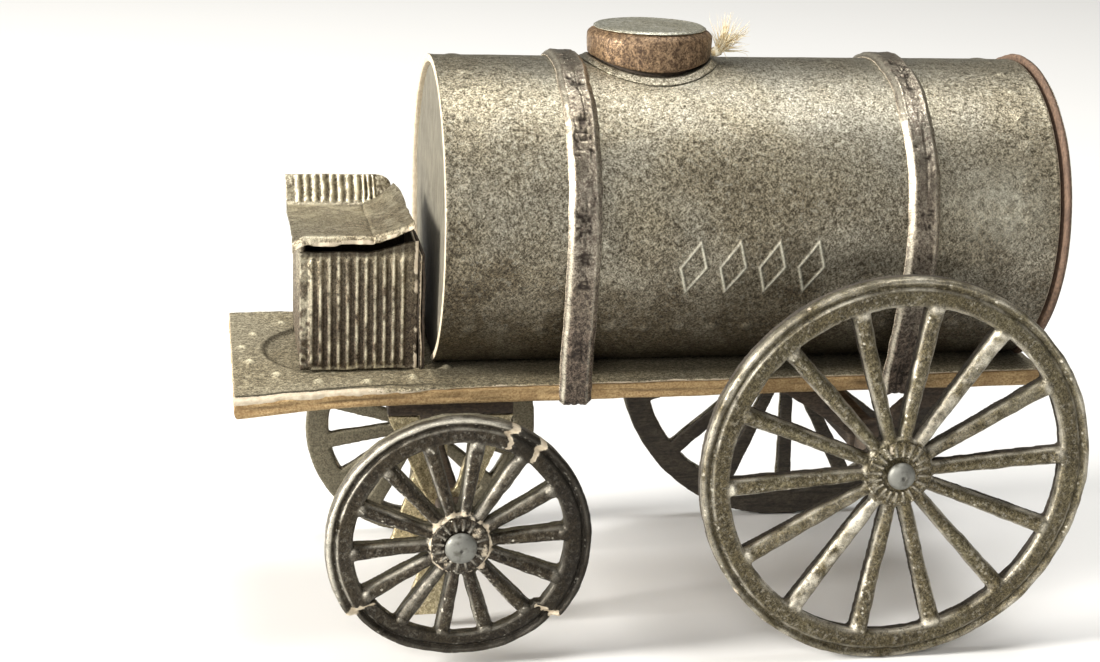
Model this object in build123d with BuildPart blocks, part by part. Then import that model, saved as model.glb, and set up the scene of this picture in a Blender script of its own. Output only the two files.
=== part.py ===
"""Embossed foil-card model of a horse-drawn tank wagon, in millimetres.

Frame: +X points to the wagon's rear, -X to its driver's seat, +Y to its right side, +Z up.
The origin is the centre of the bounding box on the surface that the wheels stand on.
Card pieces are glued to each other face to face. The wheels turn on nails, and the rear cap pulls off.
"""

import math
import os

from build123d import *

# ---- driving dimensions ----

# wheels and axles
rear_wheel_radius = 16.5
front_wheel_radius = 10.8
rear_axle_x = 18.5
front_axle_x = -17.2
rear_wheel_outer_y = 16.9
front_wheel_outer_y = 15.3
spoke_count = 14
spoke_phase = {"front_left": 4.0, "front_right": 17.0, "rear_left": 4.25, "rear_right": 11.0}
spoke_width = 1.45
front_rim_width = 2.2
rear_rim_width = 2.4
front_hub_radius = 2.6
rear_hub_radius = 3.0
rosette_inset = 0.2
face_thickness = 1.0
backing_thickness = 0.6
rosette_thickness = 0.3
running_gap = 0.1
nail_radius = 0.5
nail_clearance = 0.07
nail_depth = 6.0
nail_head_height = 0.8
nail_head_rounding = 0.9
front_nail_head_radius = 1.3
rear_nail_head_radius = 1.15
axle_side = 2.4

# deck
deck_front_x = -35.0
deck_rear_x = 33.4
deck_front_half_width = 11.8
deck_rear_half_width = 9.4
deck_top_z = 22.8
deck_card = 1.2
foil = 0.2
recess_radius = 7.6
recess_depth = 0.1

# tank
tank_radius = 12.8
tank_axis_height = 12.1
tank_front_x = -18.6
tank_rear_x = 32.0
tank_wall = 0.6
end_inset = 0.4
end_thickness = 0.6
cap_thickness = 0.9
cap_overhang = 0.4
plug_length = 5.0
cap_clearance = 0.1

# straps round the tank
strap_width = 2.7
strap_thickness = 0.5
strap_tuck = 2.0
front_strap_x = -7.5
rear_strap_x = 20.3

# filler
filler_x = -0.3
flange_radius = 5.8
flange_height = 0.3
neck_radius = 4.5
lid_radius = 5.2
card_wall = 0.6
lid_bottom_z = 48.0
lid_side_height = 2.2
lid_top_thickness = 0.3
lid_dome = 0.2

# cut hanging thread
knot_radius = 0.5
knot_centre = (5.05, -1.5, 48.45)
tuft_direction = (0.6, 0, 0.8)
tuft_length = 3.4
tuft_start_radius = 0.35
tuft_end_radius = 0.95

# driver's seat
seat_front_x = -29.5
seat_rear_x = -19.9
seat_half_width = 6.0
seat_panel = 0.5
side_panel_height = 9.6
pan_bottom_height = 10.4
pan_overhang = 0.6
rib_count = 11
rib_width = 0.4
rib_height = 0.3
wing_height = 2.9
lip_height = 0.5
backrest_rise = 1.5
backrest_length = 4.4
backrest_top_bend = (0.55, 0.3)  # shares of the backrest's length and rise
backrest_under_bend = (0.65, 0.2)
backrest_foot = 0.3

# undercarriage
bolster_length = 10.6
bolster_half_width = 8.0
bolster_height = 2.2
bracket_y = 7.2
bracket_tail_z = 1.2
bracket_tail_reach = 3.8
hanger_y = 8.4
hanger_top_length = 17.0
plate_thickness = 0.8

# ---- derived positions ----

board_top_z = deck_top_z - foil
deck_under_z = board_top_z - deck_card
tank_axis_z = deck_top_z + tank_axis_height
tank_inner_radius = tank_radius - tank_wall
seat_mid_x = (seat_front_x + seat_rear_x) / 2
seat_length = seat_rear_x - seat_front_x


def deck_half_width(x):
    """Half the deck's width where it tapers towards the rear."""
    share = (x - deck_front_x) / (deck_rear_x - deck_front_x)
    return deck_front_half_width + share * (deck_rear_half_width - deck_front_half_width)


def save(piece, label):
    """Label a finished piece and write it to its own STEP file."""
    piece.part.label = label
    export_step(piece.part, f"parts/{label}.step")


def deck_corners():
    """Corners of the tapered deck, for a polygon on a level plane."""
    return (
        (deck_front_x, -deck_front_half_width),
        (deck_rear_x, -deck_rear_half_width),
        (deck_rear_x, deck_rear_half_width),
        (deck_front_x, deck_front_half_width),
    )


def cut_below_deck(bottom_z):
    """Remove what lies below a level from a sketch on a YZ plane."""
    with Locations((0, bottom_z)):
        Rectangle(
            4 * tank_radius,
            2 * tank_radius,
            align=(Align.CENTER, Align.MAX),
            mode=Mode.SUBTRACT,
        )


os.makedirs("parts", exist_ok=True)

# ---- deck ----

with BuildPart() as deck_board:
    with BuildSketch(Plane.XY.offset(deck_under_z)):
        Polygon(*deck_corners(), align=None)
    extrude(amount=deck_card)
save(deck_board, "deck_board")

with BuildPart() as deck_foil:
    with BuildSketch(Plane.XY.offset(board_top_z)):
        Polygon(*deck_corners(), align=None)
    extrude(amount=foil)
    with BuildSketch(Plane.XY.offset(deck_top_z)):
        with Locations((seat_mid_x, 0)):
            Circle(recess_radius)
    extrude(amount=-recess_depth, mode=Mode.SUBTRACT)
    with BuildSketch(Plane.XY.offset(deck_top_z)):
        with Locations((seat_mid_x, 0)):
            Rectangle(seat_length + 2 * seat_panel, 2 * seat_half_width)
    extrude(amount=-recess_depth)
save(deck_foil, "deck_foil")

# ---- tank ----

with BuildPart() as tank_shell:
    with BuildSketch(Plane.YZ.offset(tank_front_x)):
        with Locations((0, tank_axis_z)):
            Circle(tank_radius)
            Circle(tank_inner_radius, mode=Mode.SUBTRACT)
        cut_below_deck(deck_top_z)
    extrude(amount=tank_rear_x - tank_front_x)
save(tank_shell, "tank_shell")

with BuildPart() as tank_front_end:
    with BuildSketch(Plane.YZ.offset(tank_front_x + end_inset)):
        with Locations((0, tank_axis_z)):
            Circle(tank_inner_radius)
        cut_below_deck(deck_top_z)
    extrude(amount=end_thickness)
save(tank_front_end, "tank_front_end")

with BuildPart() as rear_cap:
    with BuildSketch(Plane.YZ.offset(tank_rear_x + running_gap)):
        with Locations((0, tank_axis_z)):
            Circle(tank_radius + cap_overhang)
        cut_below_deck(deck_top_z + cap_clearance)
    extrude(amount=cap_thickness)
save(rear_cap, "rear_cap")

with BuildPart() as rear_cap_plug:
    with BuildSketch(Plane.YZ.offset(tank_rear_x + running_gap - plug_length)):
        with Locations((0, tank_axis_z)):
            Circle(tank_inner_radius - cap_clearance)
            Circle(tank_inner_radius - cap_clearance - card_wall, mode=Mode.SUBTRACT)
        cut_below_deck(deck_top_z + cap_clearance)
    extrude(amount=plug_length)
save(rear_cap_plug, "rear_cap_plug")

# ---- straps ----


def strap_path(offset_out, edge_y):
    """Points of a strap's surface, an offset outside what it wraps: the right half, from the
    tank's tangent point down to the deck's edge and under it."""
    radius = tank_radius + offset_out
    corner_y = edge_y + offset_out
    bottom_z = deck_under_z - offset_out
    drop = tank_axis_z - deck_top_z
    tangent_angle = math.atan2(drop, corner_y) - math.acos(radius / math.hypot(corner_y, drop))
    tangent_y = radius * math.cos(tangent_angle)
    tangent_z = tank_axis_z - radius * math.sin(tangent_angle)
    return (tangent_y, tangent_z), (corner_y, deck_top_z), (corner_y, bottom_z)


def make_strap(label, strap_x):
    """Flat strap over the tank and down to the deck's edges, tucked under them."""
    edge_y = deck_half_width(strap_x - strap_width / 2)
    strap_plane = Plane.YZ.offset(strap_x - strap_width / 2)
    with BuildPart() as strap:
        for offset_out, mode in ((strap_thickness, Mode.ADD), (0, Mode.SUBTRACT)):
            right = strap_path(offset_out, edge_y)
            left = [(-y, z) for y, z in right]
            with BuildSketch(strap_plane):
                with BuildLine():
                    Polyline(*left, *reversed(right))
                    ThreePointArc(
                        right[0],
                        (0, tank_axis_z + tank_radius + offset_out),
                        left[0],
                    )
                make_face()
            extrude(amount=strap_width, mode=mode)
        with BuildSketch(strap_plane):
            with Locations((0, deck_under_z)):
                Rectangle(2 * (edge_y - strap_tuck), 3 * strap_thickness)
        extrude(amount=strap_width, mode=Mode.SUBTRACT)
    save(strap, label)


make_strap("front_strap", front_strap_x)
make_strap("rear_strap", rear_strap_x)

# ---- filler ----

with BuildPart() as filler_flange:
    with BuildSketch(Plane.XY.offset(tank_axis_z)):
        with Locations((filler_x, 0)):
            Circle(flange_radius)
            Circle(neck_radius, mode=Mode.SUBTRACT)
    extrude(amount=2 * tank_radius)
    with BuildSketch(Plane.YZ.offset(filler_x - 2 * flange_radius)):
        with Locations((0, tank_axis_z)):
            Circle(tank_radius + flange_height)
    extrude(amount=4 * flange_radius, mode=Mode.INTERSECT)
    with BuildSketch(Plane.YZ.offset(filler_x - 2 * flange_radius)):
        with Locations((0, tank_axis_z)):
            Circle(tank_radius)
    extrude(amount=4 * flange_radius, mode=Mode.SUBTRACT)
save(filler_flange, "filler_flange")

with BuildPart() as filler_neck:
    with BuildSketch(Plane.XY.offset(tank_axis_z)):
        with Locations((filler_x, 0)):
            Circle(neck_radius)
            Circle(neck_radius - card_wall, mode=Mode.SUBTRACT)
    extrude(amount=lid_bottom_z + lid_side_height - tank_axis_z)
    with BuildSketch(Plane.YZ.offset(filler_x - 2 * neck_radius)):
        with Locations((0, tank_axis_z)):
            Circle(tank_radius)
    extrude(amount=4 * neck_radius, mode=Mode.SUBTRACT)
save(filler_neck, "filler_neck")

with BuildPart() as filler_lid_side:
    with BuildSketch(Plane.XY.offset(lid_bottom_z)):
        with Locations((filler_x, 0)):
            Circle(lid_radius)
            Circle(neck_radius, mode=Mode.SUBTRACT)
    extrude(amount=lid_side_height)
save(filler_lid_side, "filler_lid_side")

lid_top_z = lid_bottom_z + lid_side_height
lid_rim_z = lid_top_z + lid_top_thickness
dome_radius = (lid_radius**2 + lid_dome**2) / (2 * lid_dome)
dome_centre_z = lid_rim_z + lid_dome - dome_radius
with BuildPart() as filler_lid_top:
    with BuildSketch(Plane.XY.offset(lid_top_z)):
        with Locations((filler_x, 0)):
            Circle(lid_radius)
    extrude(amount=lid_top_thickness + lid_dome)
    with Locations((filler_x, 0, dome_centre_z)):
        Sphere(dome_radius, mode=Mode.INTERSECT)
save(filler_lid_top, "filler_lid_top")

with BuildPart() as hanging_thread:
    with Locations(knot_centre):
        Sphere(knot_radius)
    with Locations(Plane(origin=knot_centre, z_dir=tuft_direction)):
        Cone(
            tuft_start_radius,
            tuft_end_radius,
            tuft_length,
            align=(Align.CENTER, Align.CENTER, Align.MIN),
        )
save(hanging_thread, "hanging_thread")

# ---- driver's seat ----

pan_bottom_z = deck_top_z + pan_bottom_height
pan_top_z = pan_bottom_z + seat_panel
pan_half_width = seat_half_width + pan_overhang

for side_name, side in (("left", -1), ("right", 1)):
    outer_plane = Plane(
        origin=(seat_mid_x, side * seat_half_width, deck_top_z),
        x_dir=(-side, 0, 0),
        z_dir=(0, side, 0),
    )
    with BuildPart() as seat_side:
        with BuildSketch(outer_plane):
            Rectangle(seat_length, side_panel_height, align=(Align.CENTER, Align.MIN))
        extrude(amount=-seat_panel)
        with BuildSketch(outer_plane):
            with Locations((0, side_panel_height / 2)):
                with GridLocations(seat_length / rib_count, 1, rib_count, 1):
                    Rectangle(rib_width, side_panel_height)
        extrude(amount=rib_height)
    save(seat_side, f"seat_{side_name}_side")

with BuildPart() as seat_front:
    with BuildSketch(Plane.XY.offset(deck_top_z)):
        with Locations((seat_front_x, 0)):
            Rectangle(
                seat_panel,
                2 * (seat_half_width - seat_panel),
                align=(Align.MIN, Align.CENTER),
            )
    extrude(amount=pan_bottom_height)
save(seat_front, "seat_front")

with BuildPart() as seat_back:
    with BuildSketch(Plane.XY.offset(deck_top_z)):
        with Locations((seat_rear_x, 0)):
            Rectangle(card_wall, 2 * seat_half_width, align=(Align.MIN, Align.CENTER))
    extrude(amount=pan_bottom_height)
save(seat_back, "seat_back")

with BuildPart() as seat_pan:
    with BuildSketch(Plane.XY.offset(pan_bottom_z)):
        with Locations((seat_front_x - pan_overhang, 0)):
            Rectangle(
                seat_length + 2 * pan_overhang,
                2 * pan_half_width,
                align=(Align.MIN, Align.CENTER),
            )
    extrude(amount=seat_panel)
save(seat_pan, "seat_pan")

with BuildPart() as seat_left_lip:
    with BuildSketch(Plane.XY.offset(pan_top_z)):
        with Locations((seat_front_x - pan_overhang, -pan_half_width)):
            Rectangle(
                seat_length + pan_overhang - backrest_length + card_wall,
                seat_panel,
                align=(Align.MIN, Align.MIN),
            )
    extrude(amount=lip_height)
save(seat_left_lip, "seat_left_lip")

with BuildPart() as seat_right_wing:
    with BuildSketch(Plane.XY.offset(pan_top_z)):
        with Locations((seat_front_x - pan_overhang, pan_half_width)):
            Rectangle(seat_length - card_wall, seat_panel, align=(Align.MIN, Align.MAX))
    extrude(amount=wing_height)
    with BuildSketch(Plane.XY.offset(pan_top_z)):
        with Locations((seat_mid_x - pan_overhang, pan_half_width - seat_panel)):
            with GridLocations(seat_length / rib_count, 1, rib_count - 2, 1):
                Rectangle(rib_width, 2 * rib_height)
    extrude(amount=wing_height)
save(seat_right_wing, "seat_right_wing")



def backrest_point(length_share, rise_share):
    """Point of the backrest's curve by its share of the length and of the rise."""
    start_x = seat_rear_x + card_wall - backrest_length
    return start_x + length_share * backrest_length, pan_top_z + rise_share * backrest_rise


with BuildPart() as seat_backrest:
    with BuildSketch(Plane.XZ.offset(-(pan_half_width - seat_panel - rib_height))):
        with BuildLine():
            ThreePointArc(
                backrest_point(0, 0),
                backrest_point(*backrest_top_bend),
                backrest_point(1, 1),
            )
            Line(backrest_point(1, 1), backrest_point(1, 1 - seat_panel / backrest_rise))
            ThreePointArc(
                backrest_point(1, 1 - seat_panel / backrest_rise),
                backrest_point(*backrest_under_bend),
                backrest_point(backrest_foot, 0),
            )
            Line(backrest_point(backrest_foot, 0), backrest_point(0, 0))
        make_face()
    extrude(amount=2 * pan_half_width - seat_panel - rib_height)
save(seat_backrest, "seat_backrest")

# ---- undercarriage ----

with BuildPart() as front_bolster:
    with BuildSketch(Plane.XY.offset(deck_under_z)):
        with Locations((front_axle_x, 0)):
            Rectangle(bolster_length, 2 * bolster_half_width)
    extrude(amount=-bolster_height)
save(front_bolster, "front_bolster")

bracket_foot = axle_side + 2 * card_wall


def make_bracket(label, side_y, axle_x, axle_z, top_length, top_z, tail=False):
    """V-shaped card plate that carries an axle: two legs that meet round the axle's square hole.

    With a tail, the plate goes on below the axle and spreads forwards.
    """
    foot_z = axle_z - bracket_foot / 2
    notch_z = axle_z + bracket_foot / 2
    with BuildPart() as bracket:
        with BuildSketch(Plane.XZ.offset(-side_y)):
            with BuildLine():
                Polyline(
                    (axle_x - top_length / 2, top_z),
                    (axle_x + top_length / 2, top_z),
                    (axle_x + bracket_foot / 2, foot_z),
                    (axle_x - bracket_foot / 2, foot_z),
                    close=True,
                )
            make_face()
            with BuildLine():
                Polyline(
                    (axle_x - top_length / 4, top_z),
                    (axle_x + top_length / 4, top_z),
                    (axle_x, notch_z),
                    close=True,
                )
            make_face(mode=Mode.SUBTRACT)
            with Locations((axle_x, axle_z)):
                Rectangle(axle_side, axle_side, mode=Mode.SUBTRACT)
            if tail:
                with BuildLine():
                    Polyline(
                        (axle_x + bracket_foot / 2, foot_z),
                        (axle_x - bracket_foot / 2, foot_z),
                        (axle_x - bracket_tail_reach, bracket_tail_z),
                        (axle_x, bracket_tail_z),
                        close=True,
                    )
                make_face()
        extrude(amount=plate_thickness / 2, both=True)
    save(bracket, label)


for side_name, side in (("left", -1), ("right", 1)):
    make_bracket(
        f"front_{side_name}_bracket",
        side * bracket_y,
        front_axle_x,
        front_wheel_radius,
        bolster_length,
        deck_under_z - bolster_height,
        tail=True,
    )
    make_bracket(
        f"rear_{side_name}_hanger",
        side * hanger_y,
        rear_axle_x,
        rear_wheel_radius,
        hanger_top_length,
        deck_under_z,
    )

# ---- axles, nails and wheels ----


def make_axle(label, axle_x, axle_z, wheel_inner_y):
    """Square card bar with a nail hole in each end."""
    half_length = wheel_inner_y - running_gap
    with BuildPart() as axle:
        with BuildSketch(Plane.XZ.offset(-half_length)):
            with Locations((axle_x, axle_z)):
                Rectangle(axle_side, axle_side)
        extrude(amount=2 * half_length)
        for end_y, inwards in ((half_length, 1), (-half_length, -1)):
            with BuildSketch(Plane.XZ.offset(-end_y)):
                with Locations((axle_x, axle_z)):
                    Circle(nail_radius)
            extrude(amount=inwards * nail_depth, mode=Mode.SUBTRACT)
    save(axle, label)


def make_nail(label, axle_x, axle_z, side, wheel_outer_y, head_radius):
    """Domed nail that holds a wheel on the end of its axle."""
    head_y = wheel_outer_y + rosette_thickness + running_gap
    wheel_inner_y = wheel_outer_y - face_thickness - backing_thickness
    shank_length = head_y - wheel_inner_y + running_gap + nail_depth
    head_plane = Plane(
        origin=(axle_x, side * head_y, axle_z),
        x_dir=(1, 0, 0),
        z_dir=(0, side, 0),
    )
    with BuildPart() as nail:
        with BuildSketch(head_plane):
            Circle(nail_radius)
        extrude(amount=-shank_length)
        with BuildSketch(head_plane):
            Circle(head_radius)
        extrude(amount=nail_head_height)
        fillet(
            nail.edges().filter_by(GeomType.CIRCLE).sort_by(Axis.Y)[-1 if side > 0 else 0],
            radius=nail_head_rounding * nail_head_height,
        )
    save(nail, label)


def wheel_sketch(radius, rim_width, hub_radius, phase):
    """Rim, spokes and hub with the nail's clearance hole, drawn in the current sketch."""
    Circle(radius)
    Circle(radius - rim_width, mode=Mode.SUBTRACT)
    with PolarLocations(0, spoke_count, start_angle=phase):
        Rectangle(radius - rim_width / 2, spoke_width, align=(Align.MIN, Align.CENTER))
    Circle(hub_radius)
    Circle(nail_radius + nail_clearance, mode=Mode.SUBTRACT)


def make_wheel(prefix, axle_x, side, radius, outer_y, rim_width, hub_radius):
    """Embossed face, plain backing and hub rosette of one wheel."""
    layers = (
        ("face", outer_y, face_thickness),
        ("backing", outer_y - face_thickness, backing_thickness),
    )
    for layer_name, layer_y, thickness in layers:
        layer_plane = Plane(
            origin=(axle_x, side * layer_y, radius),
            x_dir=(1, 0, 0),
            z_dir=(0, side, 0),
        )
        with BuildPart() as layer:
            with BuildSketch(layer_plane):
                wheel_sketch(radius, rim_width, hub_radius, spoke_phase[prefix])
            extrude(amount=-thickness)
        save(layer, f"{prefix}_wheel_{layer_name}")
    rosette_plane = Plane(
        origin=(axle_x, side * outer_y, radius),
        x_dir=(1, 0, 0),
        z_dir=(0, side, 0),
    )
    with BuildPart() as rosette:
        with BuildSketch(rosette_plane):
            Circle(hub_radius - rosette_inset)
            Circle(nail_radius + nail_clearance, mode=Mode.SUBTRACT)
        extrude(amount=rosette_thickness)
    save(rosette, f"{prefix}_wheel_rosette")


axle_sets = (
    (
        "front",
        front_axle_x,
        front_wheel_radius,
        front_wheel_outer_y,
        front_rim_width,
        front_hub_radius,
        front_nail_head_radius,
    ),
    (
        "rear",
        rear_axle_x,
        rear_wheel_radius,
        rear_wheel_outer_y,
        rear_rim_width,
        rear_hub_radius,
        rear_nail_head_radius,
    ),
)
for end_name, axle_x, radius, outer_y, rim_width, hub_radius, head_radius in axle_sets:
    inner_y = outer_y - face_thickness - backing_thickness
    make_axle(f"{end_name}_axle", axle_x, radius, inner_y)
    for side_name, side in (("left", -1), ("right", 1)):
        prefix = f"{end_name}_{side_name}"
        make_nail(f"{prefix}_nail", axle_x, radius, side, outer_y, head_radius)
        make_wheel(prefix, axle_x, side, radius, outer_y, rim_width, hub_radius)
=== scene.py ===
"""Looks of a miniature horse-drawn tank wagon made of embossed foil-faced card.

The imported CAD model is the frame: sizes and places are read from its nodes. Meshes are worked out in
millimetres and stored in metres. +X is the wagon's rear, -Y its left side, +Z is up.
"""

import math
from collections import namedtuple

import bmesh
import bpy
import numpy as np
from mathutils import Matrix, Vector


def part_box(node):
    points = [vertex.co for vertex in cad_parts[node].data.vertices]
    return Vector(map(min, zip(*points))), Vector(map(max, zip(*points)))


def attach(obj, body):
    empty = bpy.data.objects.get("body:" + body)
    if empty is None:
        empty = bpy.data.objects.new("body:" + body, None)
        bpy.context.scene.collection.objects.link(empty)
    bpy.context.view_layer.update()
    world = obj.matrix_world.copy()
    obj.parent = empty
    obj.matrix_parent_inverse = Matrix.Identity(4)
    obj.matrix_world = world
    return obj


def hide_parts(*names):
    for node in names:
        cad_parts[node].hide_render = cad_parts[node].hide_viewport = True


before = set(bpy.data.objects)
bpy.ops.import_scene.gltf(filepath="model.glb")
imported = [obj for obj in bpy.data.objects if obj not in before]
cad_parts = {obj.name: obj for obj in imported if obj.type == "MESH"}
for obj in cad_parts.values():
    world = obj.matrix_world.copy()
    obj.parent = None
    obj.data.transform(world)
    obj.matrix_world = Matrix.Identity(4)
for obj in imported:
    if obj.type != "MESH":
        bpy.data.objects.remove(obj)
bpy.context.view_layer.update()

MM = 0.001


# ---------------------------------------------------------------- sizes from the frame

def box(node):
    """Low and high corner of a CAD node, in millimetres."""
    low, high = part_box(node)
    return np.array(low) / MM, np.array(high) / MM


def vertex_values(mesh, what):
    """Places or normals of a mesh's vertices."""
    values = np.empty(3 * len(mesh.vertices))
    mesh.vertices.foreach_get(what, values)
    return values.reshape(-1, 3)


def node_points(node):
    """Vertices of a CAD node, in millimetres."""
    return vertex_values(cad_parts[node].data, "co") / MM


deck_low, deck_high = box("deck_board")
foil_low, foil_high = box("deck_foil")
deck_top = foil_high[2]
deck_front_half = deck_high[1]
deck_points = node_points("deck_board")
deck_rear_half = deck_points[deck_points[:, 0] > deck_high[0] - 0.01, 1].max()
tank_low, tank_high = box("tank_shell")
tank_radius = tank_high[1]
tank_axis = tank_high[2] - tank_radius
end_low, end_high = box("tank_front_end")
tank_bore = end_high[2] - tank_axis
cap_low, cap_high = box("rear_cap")
cap_radius = cap_high[2] - tank_axis
lid_low, lid_high = box("filler_lid_side")
lid_centre = (lid_low + lid_high) / 2
lid_radius = (lid_high[0] - lid_low[0]) / 2
neck_low, neck_high = box("filler_neck")
neck_radius = (neck_high[0] - neck_low[0]) / 2
seat_low, seat_high = box("seat_left_side")
pan_low, pan_high = box("seat_pan")


def deck_half_width(x):
    """Half the deck's width where it tapers towards the rear."""
    share = (x - deck_low[0]) / (deck_high[0] - deck_low[0])
    return deck_front_half + share * (deck_rear_half - deck_front_half)


# ---------------------------------------------------------------- smooth random fields

def lattice(i, j, k, seed):
    """Repeatable random value from -1 to 1 for each whole-number point."""
    h = (i * 374761393 + j * 668265263 + k * 1440662683 + seed * 1274126177) & 0xFFFFFFFF
    h = ((h ^ (h >> 13)) * 1274126177) & 0xFFFFFFFF
    return ((h ^ (h >> 16)) & 0xFFFF) / 32767.5 - 1


def noise(points, size, seed):
    """Smooth noise from -1 to 1, with lumps of about the given size in millimetres."""
    q = np.asarray(points, float) / size
    cell = np.floor(q).astype(np.int64)
    f = q - cell
    f = f * f * (3 - 2 * f)
    total = 0
    for dx in (0, 1):
        for dy in (0, 1):
            for dz in (0, 1):
                weight = (
                    (f[..., 0] if dx else 1 - f[..., 0])
                    * (f[..., 1] if dy else 1 - f[..., 1])
                    * (f[..., 2] if dz else 1 - f[..., 2])
                )
                total = total + weight * lattice(
                    cell[..., 0] + dx, cell[..., 1] + dy, cell[..., 2] + dz, seed
                )
    return total


def rough(points, size, seed):
    """Noise with two finer layers of noise on top of it."""
    return sum(noise(points, size / 2**o, seed + 17 * o) / 2**o for o in range(3))


def flat_rough(u, v, size, seed):
    """The same on a surface's own two coordinates."""
    return rough(np.stack([u, v, np.zeros_like(u)], -1), size, seed)


def line_rough(u, size, seed):
    """The same along one coordinate."""
    return flat_rough(u, np.zeros_like(u), size, seed)


def disc_rough(angle, radius, size, seed):
    """The same on a disc, by angle and radius."""
    return flat_rough(radius * np.cos(angle), radius * np.sin(angle), size, seed)


def step(x, low, high):
    """Smooth rise from 0 at low to 1 at high."""
    t = np.clip((x - low) / (high - low), 0, 1)
    return t * t * (3 - 2 * t)


def ridge(x, width):
    """Bell curve of height 1 at 0."""
    return np.exp(-((x / width) ** 2))


def bump_dot(distance, radius):
    """Round dome of height 1 that ends at a radius."""
    return np.clip(1 - (distance / radius) ** 2, 0, 1) ** 0.8


# ---------------------------------------------------------------- mesh tools

def build(name, points, faces, marks=None, merge=True):
    """Mesh object from points in millimetres, four-cornered faces and values stored on the points."""
    mesh = bpy.data.meshes.new(name)
    mesh.from_pydata((np.asarray(points) * MM).tolist(), [], np.asarray(faces).tolist())
    for mark, values in (marks or {}).items():
        layer = mesh.attributes.new(mark, "FLOAT", "POINT")
        layer.data.foreach_set("value", np.clip(values, 0, 1).ravel())
    bm = bmesh.new()
    bm.from_mesh(mesh)
    if merge:
        bmesh.ops.remove_doubles(bm, verts=bm.verts, dist=2e-7)
        bmesh.ops.dissolve_degenerate(bm, edges=bm.edges, dist=1e-7)
    bmesh.ops.recalc_face_normals(bm, faces=bm.faces)
    bm.to_mesh(mesh)
    bm.free()
    mesh.shade_smooth()
    piece = bpy.data.objects.new(name, mesh)
    bpy.context.collection.objects.link(piece)
    return piece


def grid_faces(nu, nv, wrap_u=False, wrap_v=False, start=0, flip=False):
    """Four-cornered faces of a grid of nu by nv points."""
    i, j = np.meshgrid(
        np.arange(nu if wrap_u else nu - 1), np.arange(nv if wrap_v else nv - 1), indexing="ij"
    )
    i_next, j_next = (i + 1) % nu, (j + 1) % nv
    faces = np.stack([i * nv + j, i_next * nv + j, i_next * nv + j_next, i * nv + j_next], -1)
    faces = faces.reshape(-1, 4) + start
    return faces[:, ::-1] if flip else faces


def axis(low, high, spacing, edge):
    """Samples from low to high, close together inside the rounded edges."""
    count = max(2, int(round((high - low - 2 * edge) / spacing)) + 1)
    ramp = edge * np.array([0, 0.06, 0.25, 0.55])
    return np.concatenate([low + ramp, np.linspace(low + edge, high - edge, count), high - ramp[::-1]])


def edge_round(x, edge):
    """0 at either end of a row of samples, 1 from an edge's width inside them."""
    inside = np.clip(np.minimum(x - x.min(), x.max() - x) / edge, 0, 1)
    return np.sqrt(np.clip(1 - (1 - inside) ** 2, 0, 1))


def slab(name, place, us, vs, top, bottom, edge, wrap_u=False, pole=False, bare=None, worn=None,
         grime=None):
    """Closed solid between two height fields on a curved or flat surface, with rounded edges.

    place(u, v, height) gives points. top and bottom are heights, or give them at (u, v). bare(u, v) says
    how much card shows on the two sides, worn(u, v) how bright the top is from wear and
    painted highlights, and grime(u, v) how dark the two sides are from grime and painted shade.
    """
    u, v = np.meshgrid(us, vs, indexing="ij")
    high, low = (side(u, v) if callable(side) else np.full_like(u, side) for side in (top, bottom))
    share = np.ones_like(u)
    if not wrap_u:
        share = share * edge_round(u, edge)
    if pole:
        share = share * np.sqrt(np.clip(1 - np.clip(1 - (vs.max() - v) / edge, 0, 1) ** 2, 0, 1))
    else:
        share = share * edge_round(v, edge)
    middle = (high + low) / 2
    outer = place(u, v, middle + (high - middle) * share)
    inner = place(u, v, middle + (low - middle) * share)
    n = u.size
    faces = np.concatenate([
        grid_faces(len(us), len(vs), wrap_u=wrap_u),
        grid_faces(len(us), len(vs), wrap_u=wrap_u, start=n, flip=True),
    ])
    points = np.concatenate([outer.reshape(-1, 3), inner.reshape(-1, 3)])
    marks = {}
    for mark, sides in (("bare", bare), ("worn", worn and (lambda u, v: (worn(u, v), 0))), ("grime", grime)):
        if sides:
            marks[mark] = np.concatenate([np.ravel(side + 0 * u) for side in sides(u, v)])
    return build(name, points, faces, marks)


def turned(profile, count):
    """Points and faces of a closed profile of (radius, height) turned about an axis: (x, height, z)."""
    profile = np.asarray(profile, float)
    angle = np.linspace(0, 2 * math.pi, count, endpoint=False)
    radius, height = profile.T
    x, z = np.outer(np.cos(angle), radius), np.outer(np.sin(angle), radius)
    points = np.stack([x, np.outer(np.ones(count), height), z], -1)
    return points.reshape(-1, 3), grid_faces(count, len(profile), wrap_u=True, wrap_v=True)


def joined(parts):
    """One list of points and one of faces from several."""
    points, faces, start = [], [], 0
    for part_points, part_faces in parts:
        points.append(part_points)
        faces.append(part_faces + start)
        start += len(part_points)
    return np.concatenate(points), np.concatenate(faces)


def bar(a, b, half_width, height, across, rounding=2.0, samples=12, rings=9, base=0.0):
    """Rounded bar from a to b, raised along Y: half_width and height follow the share of its length."""
    up = np.array([0.0, 1.0, 0.0])
    share = np.linspace(0, 1, rings)[:, None]
    turn = np.linspace(0, math.pi, samples)[None, :]
    side = np.sign(np.cos(turn)) * np.abs(np.cos(turn)) ** (2 / rounding)
    rise = np.sin(turn) ** (2 / rounding)
    width = half_width(share) * side
    lift = base + (height(share) - base) * rise
    centre = a + (b - a) * share
    roof = centre[:, None, :] + width[..., None] * across + lift[..., None] * up
    floor = centre[:, None, :] + width[..., None] * across
    loop = np.concatenate([roof, floor[:, ::-1]], 1)
    n = loop.shape[1]
    faces = [grid_faces(rings, n, wrap_v=True)]
    for ring in (0, rings - 1):
        j = np.arange(samples - 1)
        cap = np.stack([j, j + 1, n - 2 - j, n - 1 - j], -1) + ring * n
        faces.append(cap if ring else cap[:, ::-1])
    return loop.reshape(-1, 3), np.concatenate(faces)


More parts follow.
